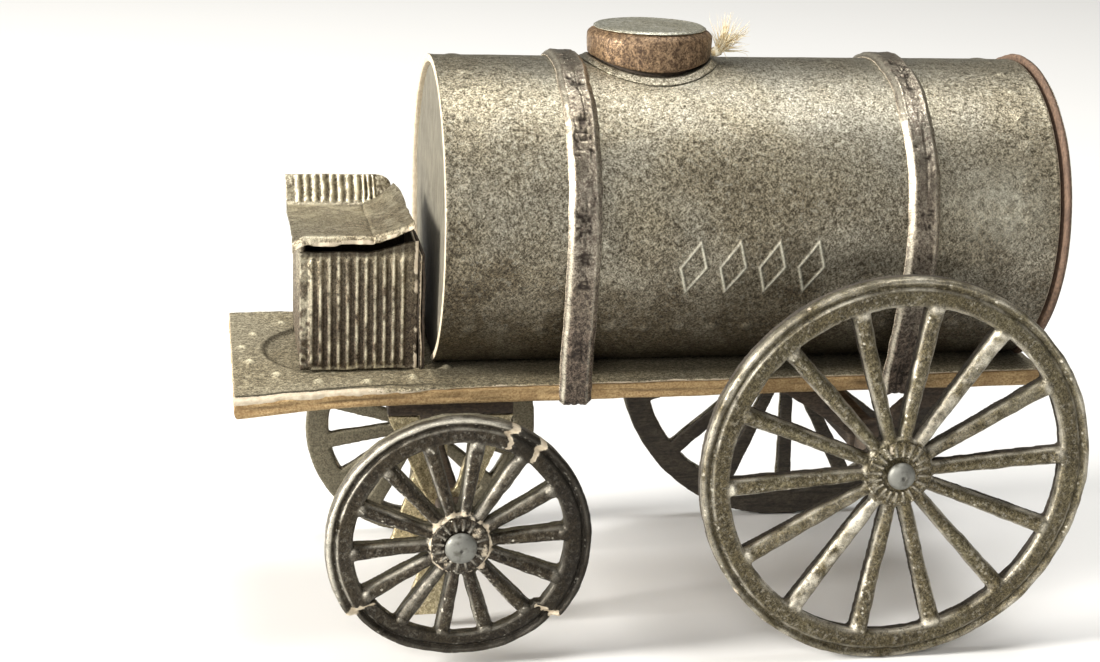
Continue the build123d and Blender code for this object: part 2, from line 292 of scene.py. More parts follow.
def ball(centre, radii, count=14):
    """Points and faces of an ellipsoid."""
    u, v = np.meshgrid(
        np.linspace(0, 2 * math.pi, count, endpoint=False),
        np.linspace(-math.pi / 2, math.pi / 2, count // 2 + 1),
        indexing="ij",
    )
    points = np.stack([np.cos(u) * np.cos(v), np.sin(v), np.sin(u) * np.cos(v)], -1)
    points = points * np.asarray(radii) + np.asarray(centre)
    return points.reshape(-1, 3), grid_faces(count, count // 2 + 1, wrap_u=True)


def along_line(corners, spacing, smoothing):
    """Distances, (y, z) points and normals along a line through corners that is smoothed a few times."""
    length = np.concatenate([[0], np.cumsum(np.hypot(*np.diff(corners, axis=0).T))])
    s = np.arange(0, length[-1], spacing)
    line = np.stack([np.interp(s, length, corners[:, k]) for k in (0, 1)], -1)
    for _ in range(smoothing):
        line[1:-1] = (line[:-2] + 2 * line[1:-1] + line[2:]) / 4
    along = np.gradient(line, axis=0)
    along /= np.linalg.norm(along, axis=1)[:, None]
    return s, line, np.stack([along[:, 1], -along[:, 0]], -1)


def beside_line(distance, height, s, line, normal):
    """Y and Z of points at a distance along a line and a height over it."""
    return [
        np.interp(distance, s, line[:, k]) + np.interp(distance, s, normal[:, k]) * height for k in (0, 1)
    ]


def fused(name, parts, voxel, smoothing):
    """One skin round several closed shapes, softly blended where they meet."""
    points, faces = joined(parts)
    piece = build(name, points, faces)
    remesh = piece.modifiers.new("fuse", "REMESH")
    remesh.mode = "VOXEL"
    remesh.voxel_size = voxel * MM
    remesh.use_smooth_shade = True
    smooth = piece.modifiers.new("soften", "SMOOTH")
    smooth.factor = 0.5
    smooth.iterations = smoothing
    apply_modifiers(piece)
    return piece


def apply_modifiers(piece):
    """Turn a piece's modifiers into plain mesh."""
    made = bpy.data.meshes.new_from_object(piece.evaluated_get(bpy.context.evaluated_depsgraph_get()))
    old = piece.data
    piece.modifiers.clear()
    piece.data = made
    made.name = old.name
    bpy.data.meshes.remove(old)


def reshape(piece, move, marks=None):
    """Move each vertex by a function of (points, normals), in millimetres, and store its marks."""
    mesh = piece.data
    points = vertex_values(mesh, "co") / MM
    normals = vertex_values(mesh, "normal")
    moved = move(points, normals)
    mesh.vertices.foreach_set("co", (moved * MM).ravel())
    for mark, values in (marks(points, normals) if marks else {}).items():
        layer = mesh.attributes.new(mark, "FLOAT", "POINT")
        layer.data.foreach_set("value", np.clip(values, 0, 1))
    mesh.update()


def finish_piece(piece, body, slot_name, material, *replaced):
    """Say what a piece rides on, takes its finish from and stands for."""
    piece.data.materials.clear()
    piece.data.materials.append(material)
    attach(piece, body)
    if replaced:
        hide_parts(*replaced)
    return piece


# ---------------------------------------------------------------- materials

class Nodes:
    """Small helper that adds and links shader nodes."""

    def __init__(self, name):
        self.material = bpy.data.materials.new(name)
        self.material.use_nodes = True
        self.tree = self.material.node_tree
        self.shader = self.tree.nodes["Principled BSDF"]
        self.where = self.tree.nodes.new("ShaderNodeTexCoord").outputs["Object"]

    def put(self, value, socket):
        if isinstance(value, bpy.types.NodeSocket):
            self.tree.links.new(value, socket)
        else:
            socket.default_value = value

    def drawn_out(self, stretch, turn=0.0):
        """Coordinates in which a texture comes out stretched, then turned about Y."""
        node = self.tree.nodes.new("ShaderNodeMapping")
        node.vector_type = "TEXTURE"
        node.inputs["Scale"].default_value = stretch
        node.inputs["Rotation"].default_value = (0, turn, 0)
        self.tree.links.new(self.where, node.inputs["Vector"])
        return node.outputs["Vector"]

    def noise(self, size, detail=3.0, roughness=0.55, vector=None):
        """Noise with lumps of a size in millimetres."""
        node = self.tree.nodes.new("ShaderNodeTexNoise")
        node.inputs["Scale"].default_value = 1 / (size * MM)
        node.inputs["Detail"].default_value = detail
        node.inputs["Roughness"].default_value = roughness
        self.tree.links.new(vector or self.where, node.inputs["Vector"])
        return node.outputs["Fac"]

    def ramp(self, value, *stops):
        """Colour or grey by a value: stops are (position, grey or colour)."""
        node = self.tree.nodes.new("ShaderNodeValToRGB")
        ramp = node.color_ramp
        while len(ramp.elements) < len(stops):
            ramp.elements.new(0.5)
        for element, (position, colour) in zip(ramp.elements, stops):
            element.position = position
            grey = not isinstance(colour, (tuple, list))
            element.color = (colour, colour, colour, 1) if grey else (*colour, 1)
        self.tree.links.new(value, node.inputs["Fac"])
        return node.outputs["Color"]

    def math(self, operation, a, b, clamp=False):
        node = self.tree.nodes.new("ShaderNodeMath")
        node.operation = operation
        node.use_clamp = clamp
        self.put(a, node.inputs[0])
        self.put(b, node.inputs[1])
        return node.outputs[0]

    def add(self, a, b, clamp=False):
        return self.math("ADD", a, b, clamp)

    def minus(self, a, b, clamp=False):
        return self.math("SUBTRACT", a, b, clamp)

    def times(self, a, b):
        return self.math("MULTIPLY", a, b)

    def larger(self, a, b):
        return self.math("MAXIMUM", a, b)

    def between(self, value, low, high, to_low=0.0, to_high=1.0):
        """Straight-line change of range, clamped."""
        node = self.tree.nodes.new("ShaderNodeMapRange")
        for socket, number in zip(node.inputs, (value, low, high, to_low, to_high)):
            self.put(number, socket)
        return node.outputs[0]

    def mix(self, share, a, b):
        node = self.tree.nodes.new("ShaderNodeMix")
        node.data_type = "RGBA"
        self.put(share, node.inputs["Factor"])
        for socket, colour in ((node.inputs[6], a), (node.inputs[7], b)):
            self.put(colour if isinstance(colour, bpy.types.NodeSocket) else (*colour, 1), socket)
        return node.outputs[2]

    def pointiness(self):
        return self.tree.nodes.new("ShaderNodeNewGeometry").outputs["Pointiness"]

    def attribute(self, name):
        node = self.tree.nodes.new("ShaderNodeAttribute")
        node.attribute_name = name
        return node.outputs["Fac"]

    def height(self):
        """Height above the ground in metres."""
        node = self.tree.nodes.new("ShaderNodeSeparateXYZ")
        self.tree.links.new(self.where, node.inputs[0])
        return node.outputs["Z"]

    def bump(self, value, strength, distance_mm, normal=None):
        node = self.tree.nodes.new("ShaderNodeBump")
        node.inputs["Strength"].default_value = strength
        node.inputs["Distance"].default_value = distance_mm * MM
        self.tree.links.new(value, node.inputs["Height"])
        if normal is not None:
            self.tree.links.new(normal, node.inputs["Normal"])
        return node.outputs["Normal"]

    def end(self, colour, roughness, metallic, normal):
        self.put(colour, self.shader.inputs["Base Color"])
        self.put(roughness, self.shader.inputs["Roughness"])
        self.put(metallic, self.shader.inputs["Metallic"])
        self.put(normal, self.shader.inputs["Normal"])
        return self.material


def scaled(colour, share):
    return tuple(share * part for part in colour)


def foil(name, light, dark, tarnish, age=0.4, shade_heights=None, grain=0.15, shine=0.3, crumple=0.25, edges=0.75,
         metal=0.9, tips=False, glint=None, flakes=0.4):
    """Aged metallic foil on card: crossed fine grain, tarnish in patches, worn bright edges, painted
    highlights and painted shade from the worn and grime attributes, and bare
    card where the bare attribute says so.

    age is the tarnish all over, or shade_heights gives the heights of full and of no tarnish, which paints
    shade that darkens the foil towards the bottom. grain is the size of the fine grain. tips brightens
    convex edges, edges and glint are the strength and colour of worn places and painted highlights, and
    flakes is the strength of small worn spots on flat faces.
    """
    n = Nodes(name)

    # crossed fine strokes, and the patches that tarnish lies in
    stroke_a, stroke_b = (
        n.noise(grain, detail=3, roughness=0.7, vector=n.drawn_out((1, 1, 2.4), turn))
        for turn in (0.75, -0.6)
    )
    fine = n.noise(grain * 0.5, detail=3, roughness=0.7)
    strokes = n.add(n.times(n.larger(stroke_a, stroke_b), 0.6), n.times(fine, 0.4))
    patches = n.noise(3.5, detail=6, roughness=0.65)
    broad = n.noise(12.0, detail=3)
    speck = n.ramp(strokes, (0.46, 0.0), (0.53, 0.4), (0.61, 1.0))
    # painted shade: with shade_heights the tarnish grows towards the bottom and darkens the lower foil
    tarnish_and_shade = n.between(n.height(), shade_heights[0] * MM, shade_heights[1] * MM, 1.0, 0.0) if shade_heights else age
    tarnish_and_shade = n.add(tarnish_and_shade, n.times(n.minus(patches, 0.5), 1.3))
    tarnish_and_shade = n.add(tarnish_and_shade, n.times(n.minus(broad, 0.5), 0.8), clamp=True)

    # clean foil under tarnish
    warm = tuple(c * t for c, t in zip(light, (1.0, 0.9, 0.72)))
    tinted = n.mix(n.ramp(broad, (0.42, 0.0), (0.6, 0.6)), light, warm)
    clean = n.mix(speck, dark, tinted)
    dull = n.mix(speck, scaled(tarnish, 0.2), scaled(tarnish, 2.6))
    colour = n.mix(n.times(tarnish_and_shade, 0.94), clean, dull)

    # worn bright places, painted highlights and loose flakes of tarnish
    worn = n.attribute("worn")
    if tips:
        worn = n.larger(n.between(n.pointiness(), 0.55, 0.68), worn)
    scuffs = n.noise(0.42, detail=5, roughness=0.75)
    flake = n.ramp(scuffs, (0.53, 0.0), (0.62, flakes))
    flake = n.times(flake, n.between(patches, 0.36, 0.6, 0.25, 1.0))
    flake = n.times(flake, n.between(tarnish_and_shade, 0.2, 1.0, 1.0, 0.3))
    worn = n.larger(worn, flake)
    worn = n.times(worn, n.between(fine, 0.35, 0.55, 0.35, edges))
    colour = n.mix(worn, colour, glint or tuple(min(0.95, 1.35 * c) for c in light))

    # darkening in hollows and pits, grime and painted shade from the grime attribute, and card where the foil
    # is gone
    deep = n.between(n.pointiness(), 0.49, 0.43)
    deep = n.larger(n.times(deep, 0.85), n.attribute("grime"))
    pits = n.times(n.ramp(scuffs, (0.38, 0.7), (0.46, 0.0)), n.between(broad, 0.4, 0.6, 0.4, 1.0))
    deep = n.larger(deep, pits)
    colour = n.mix(deep, colour, scaled(tarnish, 0.3))
    bare = n.add(n.attribute("bare"), n.times(n.minus(fine, 0.5), 0.8))
    ragged = n.between(bare, 0.48, 0.6)
    raw_card = n.mix(n.noise(0.4, detail=4), (0.30, 0.22, 0.13), (0.78, 0.70, 0.55))
    colour = n.mix(ragged, colour, raw_card)

    roughness = n.add(n.times(n.minus(1.0, speck), 0.2), shine)
    roughness = n.add(roughness, n.times(tarnish_and_shade, 0.16))
    roughness = n.larger(roughness, n.times(ragged, 0.85))
    metallic = n.minus(n.between(tarnish_and_shade, 0, 1, metal, metal - 0.3), ragged, clamp=True)
    normal = n.bump(patches, crumple, 0.2)
    normal = n.bump(strokes, 0.9, 0.05, normal)
    normal = n.bump(fine, 0.35, 0.02, normal)
    return n.end(colour, roughness, metallic, normal)


def card(name, light, dark, fibre=0.16, roughness=0.9, stretch=(2.2, 2.2, 1), lines=0.5):
    """Raw layered card or board: short fibres along it, faint dark layer lines, fuzzy bumps."""
    n = Nodes(name)
    fibres = n.noise(fibre, detail=5, roughness=0.7, vector=n.drawn_out(stretch))
    layers = n.noise(0.3, detail=2, vector=n.drawn_out((14, 14, 1)))
    stains = n.noise(3.0, detail=5, roughness=0.6)
    colour = n.mix(n.ramp(fibres, (0.36, 0.0), (0.66, 1.0)), dark, light)
    colour = n.mix(n.ramp(layers, (0.38, lines), (0.48, 0.0)), colour, scaled(dark, 0.45))
    colour = n.mix(n.ramp(stains, (0.48, 0.0), (0.7, 0.7)), colour, dark)
    deep = n.between(n.pointiness(), 0.495, 0.45)
    colour = n.mix(n.times(deep, 0.6), colour, scaled(dark, 0.3))
    normal = n.bump(fibres, 0.7, 0.06)
    normal = n.bump(layers, 0.3, 0.05, normal)
    return n.end(colour, n.between(fibres, 0, 1, roughness, roughness - 0.2), 0.0, normal)


def nail_metal(name):
    """Dull grey steel with a little rust and fine scratches."""
    n = Nodes(name)
    scratches = n.noise(0.25, detail=5, vector=n.drawn_out((1, 1, 3), 0.6))
    spots = n.noise(0.8, detail=4)
    colour = n.mix(n.ramp(spots, (0.5, 0.0), (0.68, 0.8)), (0.20, 0.20, 0.18), (0.08, 0.075, 0.06))
    deep = n.between(n.pointiness(), 0.495, 0.44)
    colour = n.mix(deep, colour, (0.05, 0.045, 0.04))
    roughness = n.between(scratches, 0.3, 0.7, 0.42, 0.6)
    normal = n.bump(scratches, 0.25, 0.02)
    return n.end(colour, roughness, 0.6, n.bump(spots, 0.2, 0.05, normal))


def thread_fibre(name):
    """Cream cotton fibre."""
    n = Nodes(name)
    tint = n.noise(0.4, detail=3)
    colour = n.mix(n.ramp(tint, (0.35, 0.0), (0.7, 1.0)), (0.60, 0.45, 0.22), (0.92, 0.88, 0.72))
    return n.end(colour, n.between(tint, 0, 1, 0.7, 0.95), 0.0, n.bump(tint, 0.3, 0.02))


# The shade_heights of the tank, strap and seat foils are painted shade that darkens them towards the bottom.
tank_foil = foil(
    "tank_foil", (0.72, 0.69, 0.57), (0.080, 0.064, 0.038), (0.046, 0.033, 0.016),
    shade_heights=(27.5, 46.5), edges=0.8, shine=0.26, flakes=0.5,
)
lid_foil = foil("lid_foil", (0.84, 0.83, 0.70), (0.26, 0.25, 0.19), (0.12, 0.11, 0.08), age=0.15, flakes=0.7)
strap_foil = foil(
    "strap_foil", (0.64, 0.60, 0.48), (0.18, 0.14, 0.11), (0.085, 0.062, 0.047),
    shade_heights=(22.0, 48.0), grain=0.25, shine=0.24, crumple=0.5,
)
# brightness and colour of the wheels' worn edges and painted highlights
WHEEL_WEAR_AND_HIGHLIGHT = {"shine": 0.24, "tips": True, "edges": 1.0, "glint": (0.88, 0.83, 0.70)}
wheel_foil = foil(
    "wheel_foil", (0.30, 0.265, 0.16), (0.065, 0.053, 0.030), (0.038, 0.029, 0.016),
    age=0.45, flakes=0.5, **WHEEL_WEAR_AND_HIGHLIGHT,
)
cracked_foil = foil(
    "cracked_wheel_foil", (0.12, 0.10, 0.064), (0.034, 0.027, 0.017), (0.017, 0.012, 0.008),
    age=0.6, flakes=0.3, **WHEEL_WEAR_AND_HIGHLIGHT,
)
seat_foil = foil(
    "seat_foil", (0.68, 0.63, 0.47), (0.15, 0.12, 0.08), (0.07, 0.05, 0.033),
    shade_heights=(26.0, 37.0), crumple=0.6, edges=1.0, flakes=0.5,
)
deck_foil = foil(
    "deck_foil", (0.72, 0.65, 0.47), (0.15, 0.125, 0.08), (0.12, 0.10, 0.06),
    age=0.4, shine=0.4, metal=0.6, grain=0.2, flakes=0.6, edges=1.2,
)
bracket_foil = foil(
    "bracket_foil", (0.85, 0.76, 0.52), (0.33, 0.27, 0.15), (0.15, 0.12, 0.07), age=0.15, crumple=0.8,
)
lid_card = foil(
    "lid_card", (0.40, 0.285, 0.17), (0.10, 0.055, 0.028), (0.085, 0.048, 0.025),
    age=0.5, grain=0.3, crumple=1.0, metal=0.6,
)
deck_card = card("deck_card", (0.52, 0.37, 0.18), (0.22, 0.13, 0.05), stretch=(1.3, 1.3, 1), lines=0.1)
cap_card = card("cap_card", (0.20, 0.125, 0.08), (0.07, 0.042, 0.028), stretch=(1, 2, 2), lines=0.2)
grey_card = card(
    "grey_card", (0.19, 0.175, 0.13), (0.09, 0.08, 0.06), fibre=0.3, stretch=(1, 1, 5), lines=0.0,
)
dark_card = card("dark_card", (0.10, 0.07, 0.045), (0.03, 0.022, 0.016))
# The wheel backing cards are kept very dark as painted shade on the wheels' inner sides.
shaded_backing_card = card("wheel_backing_card", (0.08, 0.065, 0.045), (0.025, 0.02, 0.015))
worn_backing = card(
    "worn_wheel_backing_card", (0.20, 0.18, 0.12), (0.06, 0.05, 0.03), stretch=(1, 1, 1), lines=0.1,
)
nail_steel = nail_metal("nail_steel")
cream_thread = thread_fibre("cream_thread")

# CAD nodes that keep their own shape are inside or behind others and take the card's finish.
for kept_node, kept_material in (
    ("rear_cap_plug", grey_card),
    ("filler_neck", dark_card),
):
    kept_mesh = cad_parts[kept_node].data
    kept_mesh.materials.clear()
    kept_mesh.materials.append(kept_material)


# ---------------------------------------------------------------- deck

FINE = 0.22  # spacing of mesh points on embossed foil
DECK_INSET = 0.09  # how far the deck's mesh stays inside the CAD board's two ends


def deck_warp(x, y):
    """How far the worn card has bent from flat: its front left corner sags and its ends curl a little."""
    corner = step(-x, 24, 36) * step(-y, 2, 12)
    return -0.65 * corner - 0.1 * step(-x, 30, 36)


recess_centre_x = (seat_low[0] + seat_high[0]) / 2
RECESS_RADIUS = 7.6
RIVET_RING = 9.4
DECK_RIVETS = 15


def deck_relief(x, y):
    """Embossing of the deck's skin: a round recess, the rivets round it, and small creases."""
    r = np.hypot(x - recess_centre_x, y)
    relief = -0.22 * (1 - step(r, RECESS_RADIUS - 0.25, RECESS_RADIUS + 0.05))
    relief += 0.05 * ridge(r - RECESS_RADIUS - 0.2, 0.2)
    relief += 0.26 * deck_rivets(x, y)
    return relief + 0.03 * flat_rough(x, y, 1.6, 3) + 0.02 * flat_rough(x, y, 5.0, 4)


def deck_place(u, v, h):
    ragged = 1 + 0.006 * flat_rough(u, 3 * v, 0.9, 9) * (np.abs(v) > 0.9)
    y = v * deck_half_width(u) * ragged
    return np.stack([u, y, h + deck_warp(u, y)], -1)


skin_thickness = foil_high[2] - foil_low[2]
deck_xs = axis(deck_low[0] + DECK_INSET, deck_high[0] - DECK_INSET, FINE, 0.12)
deck_vs = axis(-0.985, 0.985, FINE / 11, 0.012)


def skin_top(u, v):
    return deck_top + deck_relief(u, v * deck_half_width(u))


def core_top(u, v):
    return skin_top(u, v) - skin_thickness


def skin_place(u, v, h):
    """The skin stops short of the raw edge and is torn away along the front left edge."""
    torn = 0.012 * step(-v, 0.8, 1) * (0.5 + 0.5 * flat_rough(u, v, 1.1, 12)) * step(-u, 8, 24)
    lifted = 0.22 * step(-u, 26, 35) * step(-v, 0.55, 1)
    proud = 0.03 * step(-v, 0.93, 0.97) * step(-u, 15, 22)
    return deck_place(u, v * (1 - torn) * (0.995 + proud), h + lifted)


def skin_bare(u, v):
    rim = step(np.abs(v), 0.955, 0.985)
    front = step(-u, 34.4, 35.0)
    torn = 0.75 * step(-v, 0.94, 0.955) * step(-u, 18, 26)
    top_bare = np.maximum.reduce([rim * (0.35 + 0.5 * flat_rough(u, v, 1.5, 14)), 0.6 * front, torn])
    return top_bare, 1


def deck_rivets(x, y):
    dome = np.zeros_like(x)
    for k in range(DECK_RIVETS):
        turn = 2 * math.pi * (k + 0.35) / DECK_RIVETS
        centre_x = recess_centre_x + RIVET_RING * math.cos(turn)
        dome = np.maximum(dome, bump_dot(np.hypot(x - centre_x, y - RIVET_RING * math.sin(turn)), 0.5))
    return dome


def skin_split(u, v):
    """Painted shade in the split along the front left edge, where the skin has come away."""
    line = v + 0.915 - 0.012 * line_rough(u, 2.5, 16) + 0.02 * step(-u, 20, 34)
    return 1.2 * ridge(line, 0.017) * step(-u, 15, 22)


# painted shade: a dark line round the recess's edge, the split, and a painted shadow on the deck under the
# tank
def skin_painted_shade(u, v):
    y = v * deck_half_width(u)
    r = np.hypot(u - recess_centre_x, y)
    ring = ridge(r - RECESS_RADIUS + 0.05, 0.13)
    under = step(u, tank_low[0] - 0.5, tank_low[0] + 0.5) * (1 - step(np.abs(y), 7.5, 9.5))
    return np.maximum.reduce([0.85 * ring, skin_split(u, v), 0.5 * under]), 0


finish_piece(
    slab(
        "deck_skin", skin_place, deck_xs, deck_vs, skin_top,
        lambda u, v: core_top(u, v) + 0.02 - 0.35 * step(-v, 0.955, 0.975) * step(-u, 17, 25),
        0.012, bare=skin_bare, grime=skin_painted_shade,
        # painted highlights on the deck's rivets, set a little towards the rear of each
        worn=lambda u, v: deck_rivets(u - 0.1, v * deck_half_width(u)) ** 2,
    ),
    "chassis", "deck_foil", deck_foil, "deck_foil",
)


def core_place(u, v, h):
    """Board with a fibrous edge whose layers stand out unevenly."""
    level = (h - deck_low[2]) / (deck_top - deck_low[2])
    edge = step(np.abs(v), 0.95, 1.0)
    p = np.stack([u * 0.35, v * 8, h * 5], -1)
    out = 1 + edge * (0.010 * rough(p, 1.0, 21) + 0.006 * np.sin(level * 9))
    y = v * deck_half_width(u) * out
    x = u + 0.05 * rough(np.stack([y, h * 4, y * 0], -1), 0.8, 23) * step(np.abs(u), 32, 35)
    return np.stack([x, y, h + deck_warp(u, y)], -1)


CORE_LEVELS = 7
CORE_STEPS = 90  # mesh points across the board
core_us = axis(deck_low[0] + DECK_INSET, deck_high[0] - DECK_INSET, 0.3, 0.1)


def deck_core():
    """Board as a ring of levels round its outline, so that its raw edge has real layers."""
    side = np.linspace(-1, 1, CORE_STEPS)
    outline = np.concatenate([
        np.stack([core_us, np.full_like(core_us, -1)], -1),
        np.stack([np.full(len(side), core_us[-1]), side], -1)[1:],
        np.stack([core_us[::-1], np.full_like(core_us, 1)], -1)[1:],
        np.stack([np.full(len(side), core_us[0]), side[::-1]], -1)[1:-1],
    ])
    levels = np.linspace(0, 1, CORE_LEVELS)
    u = np.repeat(outline[:, :1], CORE_LEVELS, 1)
    v = np.repeat(outline[:, 1:], CORE_LEVELS, 1)
    top = core_top(u, v)
    h = deck_low[2] + levels[None, :] * (top - deck_low[2])
    edge_in = 1 - 0.006 * (np.abs(levels - 0.5) * 2) ** 4
    wall = core_place(u * edge_in, v * edge_in, h)
    n_out = len(outline)
    parts = [(wall.reshape(-1, 3), grid_faces(n_out, CORE_LEVELS, wrap_u=True))]
    us, vs = np.meshgrid(core_us, np.linspace(-1, 1, CORE_STEPS), indexing="ij")
    for level, flip in ((CORE_LEVELS - 1, False), (0, True)):
        shrink = edge_in[level]
        height = core_top(us, vs) if level else np.full_like(us, deck_low[2])
        sheet = core_place(us * shrink, vs * shrink, height)
        parts.append((sheet.reshape(-1, 3), grid_faces(len(core_us), CORE_STEPS, flip=flip)))
    points, faces = joined(parts)
    return build("deck_core", points, faces)


finish_piece(deck_core(), "chassis", "deck_card", deck_card, "deck_board")


# ---------------------------------------------------------------- tank

base_angle = math.asin((tank_axis - deck_top) / tank_radius)
RIVET_SPACING = 2.9
RIVET_ROW_Z = 27.3
rivet_angle = math.asin((tank_axis - RIVET_ROW_Z) / tank_radius)


def around(u, v, h):
    """Point on the tank: u is the angle from the right side over the top, v is X, h is the height."""
    r = tank_radius + h
    return np.stack([v, r * np.cos(u), tank_axis + r * np.sin(u)], -1)


LOZENGES = 4
LOZENGE_FIRST_X = 1.4
LOZENGE_PITCH = 3.25
LOZENGE_HALF = (1.05, 2.1)  # half its width and half its height
lozenge_z = tank_axis - 2.0
lozenge_angle = math.pi - math.asin((lozenge_z - tank_axis) / tank_radius)


def rivets(u, v):
    """Domes of the embossed rivets: a row above the deck on each side and a ring near each rim."""
    dome = np.zeros_like(u)
    rows = [
        (x, angle, 1.0)
        for x in np.arange(tank_low[0] + 2.2, tank_high[0] - 2, RIVET_SPACING)
        for angle in (-rivet_angle, math.pi + rivet_angle)
    ]
    rings = [
        (x, angle, 0.45)
        for x in (tank_low[0] + 2.1, tank_high[0] - 2.6)
        for angle in np.arange(-rivet_angle, math.pi + rivet_angle, RIVET_SPACING / tank_radius)
    ]
    for x, angle, strength in rows + rings:
        near = (np.abs(v - x) < 0.8) & (np.abs(u - angle) * tank_radius < 0.8)
        distance = np.hypot(v[near] - x, (u[near] - angle) * tank_radius)
        dome[near] += strength * bump_dot(distance, 0.6)
    return dome


def lozenges(u, v):
    """Raised thin outlines of a row of slanted lozenges on the left side."""
    down = (u - lozenge_angle) * tank_radius
    line = np.zeros_like(u)
    for k in range(LOZENGES):
        across = v - LOZENGE_FIRST_X - LOZENGE_PITCH * k + 0.22 * down
        outside = np.abs(across) / LOZENGE_HALF[0] + np.abs(down) / LOZENGE_HALF[1] - 1
        line = np.maximum(line, ridge(outside * 0.9, 0.10))
    return line


def from_base(u):
    """Distance round the tank from its flat base."""
    return np.minimum(u + base_angle, math.pi + base_angle - u) * tank_radius


def tank_relief(u, v):
    """Embossed rivets and lozenges, rolled edges, a base fold and small dents."""
    relief = 0.03 * flat_rough(u * tank_radius, v, 7.0, 31) - 0.03
    relief += 0.006 * flat_rough(u * tank_radius, v, 0.8, 33)
    relief += 0.19 * rivets(u, v) + 0.12 * lozenges(u, v)
    fold = from_base(u)
    relief += 0.07 * ridge(fold - 1.0, 0.15) - 0.05 * ridge(fold - 0.7, 0.12)
    rim = np.minimum(v - tank_low[0], tank_high[0] - v)
    return relief + 0.05 * ridge(rim - 0.15, 0.2)


def tank_wear_and_highlight(u, v):
    fold = from_base(u)
    down = (u - math.pi + 0.22) * tank_radius
    # painted reflection: a bright patch on the left side towards the rear, a little above the middle
    rubbed_and_reflection = 0.34 * np.exp(-((v - 27.0) / 3.5) ** 2 - (down / 3.0) ** 2)
    rubbed_and_reflection = rubbed_and_reflection * (0.9 + 0.8 * flat_rough(down, v, 0.45, 35))
    raised = 0.06 * rivets(u, v) + 0.65 * lozenges(u, v) + 0.35 * ridge(fold - 1.0, 0.12)
    return np.maximum(raised, rubbed_and_reflection)


def tank_bare(u, v):
    front = 1 - step(v - tank_low[0], 0.0, 0.16)
    rear = 1 - step(tank_high[0] - v, 0.0, 0.22)
    return np.maximum(front, rear) * 0.9, 1


def with_fine_part(samples, low, high, spacing):
    """Samples with closer ones put in between two values."""
    outside = samples[(samples < low) | (samples > high)]
    return np.sort(np.concatenate([outside, np.arange(low, high, spacing)]))


barrel_angles = with_fine_part(
    axis(-base_angle, math.pi + base_angle, FINE / tank_radius, 0.012),
    lozenge_angle - 2.4 / tank_radius, lozenge_angle + 2.4 / tank_radius, 0.08 / tank_radius,
)
barrel_xs = with_fine_part(
    axis(tank_low[0], tank_high[0], FINE, 0.1),
    LOZENGE_FIRST_X - 1.7, LOZENGE_FIRST_X + LOZENGE_PITCH * (LOZENGES - 1) + 1.7, 0.08,
)
finish_piece(
    slab(
        "tank_barrel", around, barrel_angles, barrel_xs, tank_relief, tank_bore - tank_radius, 0.1,
        bare=tank_bare, worn=tank_wear_and_highlight,
    ),
    "chassis", "tank_foil", tank_foil, "tank_shell",
)


def disc_rim(angle, radius, bottom):
    """Radius of a disc whose bottom is cut off level, by the angle from +Y."""
    down = np.where(np.sin(angle) < -1e-6, -np.sin(angle), 1e-6)
    return np.minimum(radius, (tank_axis - bottom) / down)


def end_disc(name, x_front, x_rear, radius, bottom, front_relief, rear_relief, edge=0.02, wobble=0.0):
    """Upright card disc, with relief on its two faces."""
    def place(u, v, h):
        r = v * disc_rim(u, radius, bottom)
        r = r * (1 + wobble * step(v, 0.9, 1) * disc_rough(u, 40, 3.0, 41))
        return np.stack([h, r * np.cos(u), tank_axis + r * np.sin(u)], -1)

    return slab(
        name, place, np.linspace(0, 2 * math.pi, 300, endpoint=False),
        np.concatenate([np.linspace(0.0, 1 - edge, 60), 1 - edge * np.array([0.6, 0.3, 0.1, 0.02, 0])]),
        lambda u, v: x_rear + rear_relief(u, v * radius),
        lambda u, v: x_front + front_relief(u, v * radius),
        edge, wrap_u=True, pole=True,
    )


def rippled(seed, depth):
    """Gentle uneven relief of a flat face."""
    def relief(u, r):
        return depth * disc_rough(u, r, 4.0, seed)
    return relief


finish_piece(
    end_disc("tank_front_disc", end_low[0], end_high[0], tank_bore + 0.02, end_low[2],
             rippled(43, 0.06), rippled(44, 0.0)),
    "chassis", "grey_card", grey_card, "tank_front_end",
)


def cap_face(u, r):
    """Outer face of the rear cap: a pressed ring near its edge and one round its middle."""
    return (
        -0.16 * step(r, 2.0, 10.6) * (1 - step(r, 10.6, 11.0)) - 0.14
        + 0.12 * ridge(r - 11.6, 0.35)
        + 0.10 * ridge(r - 3.2, 0.3)
        + 0.02 * disc_rough(u, r, 2.5, 47)
    )


cap_skin_x = cap_high[0] - 0.12
finish_piece(
    end_disc("rear_cap_card", cap_low[0] + 0.22, cap_skin_x, cap_radius, cap_low[2],
             rippled(48, 0.02), lambda u, r: cap_face(u, r) * 0.6, wobble=0.004),
    "rear_cap", "cap_card", cap_card, "rear_cap",
)
finish_piece(
    end_disc("rear_cap_foil", cap_skin_x - 0.05, cap_high[0] + 0.01, cap_radius - 0.12, cap_low[2] + 0.06,
             lambda u, r: cap_face(u, r) * 0.6, cap_face, edge=0.01),
    "rear_cap", "tank_foil", tank_foil,
)


# ---------------------------------------------------------------- straps

STRAP_TUCK = 2.0  # how far a strap's ends go in under the deck
STRAP_STEP = 0.16  # spacing of mesh points along a strap


def strap_route(edge_y, under_z):
    """Route of a strap round the tank and the deck's edges, with outward normals."""
    drop = tank_axis - deck_top
    tangent = math.atan2(drop, edge_y) - math.acos(tank_radius / math.hypot(edge_y, drop))
    arc = np.linspace(-tangent, math.pi + tangent, 260)
    over = np.stack([tank_radius * np.cos(arc), tank_axis + tank_radius * np.sin(arc)], -1)
    right_end = np.array([[edge_y - STRAP_TUCK, under_z], [edge_y, under_z], [edge_y, deck_top]])
    left_end = right_end[::-1] * (-1, 1)
    corners = np.concatenate([right_end, over, left_end])
    return along_line(corners, STRAP_STEP, 2)


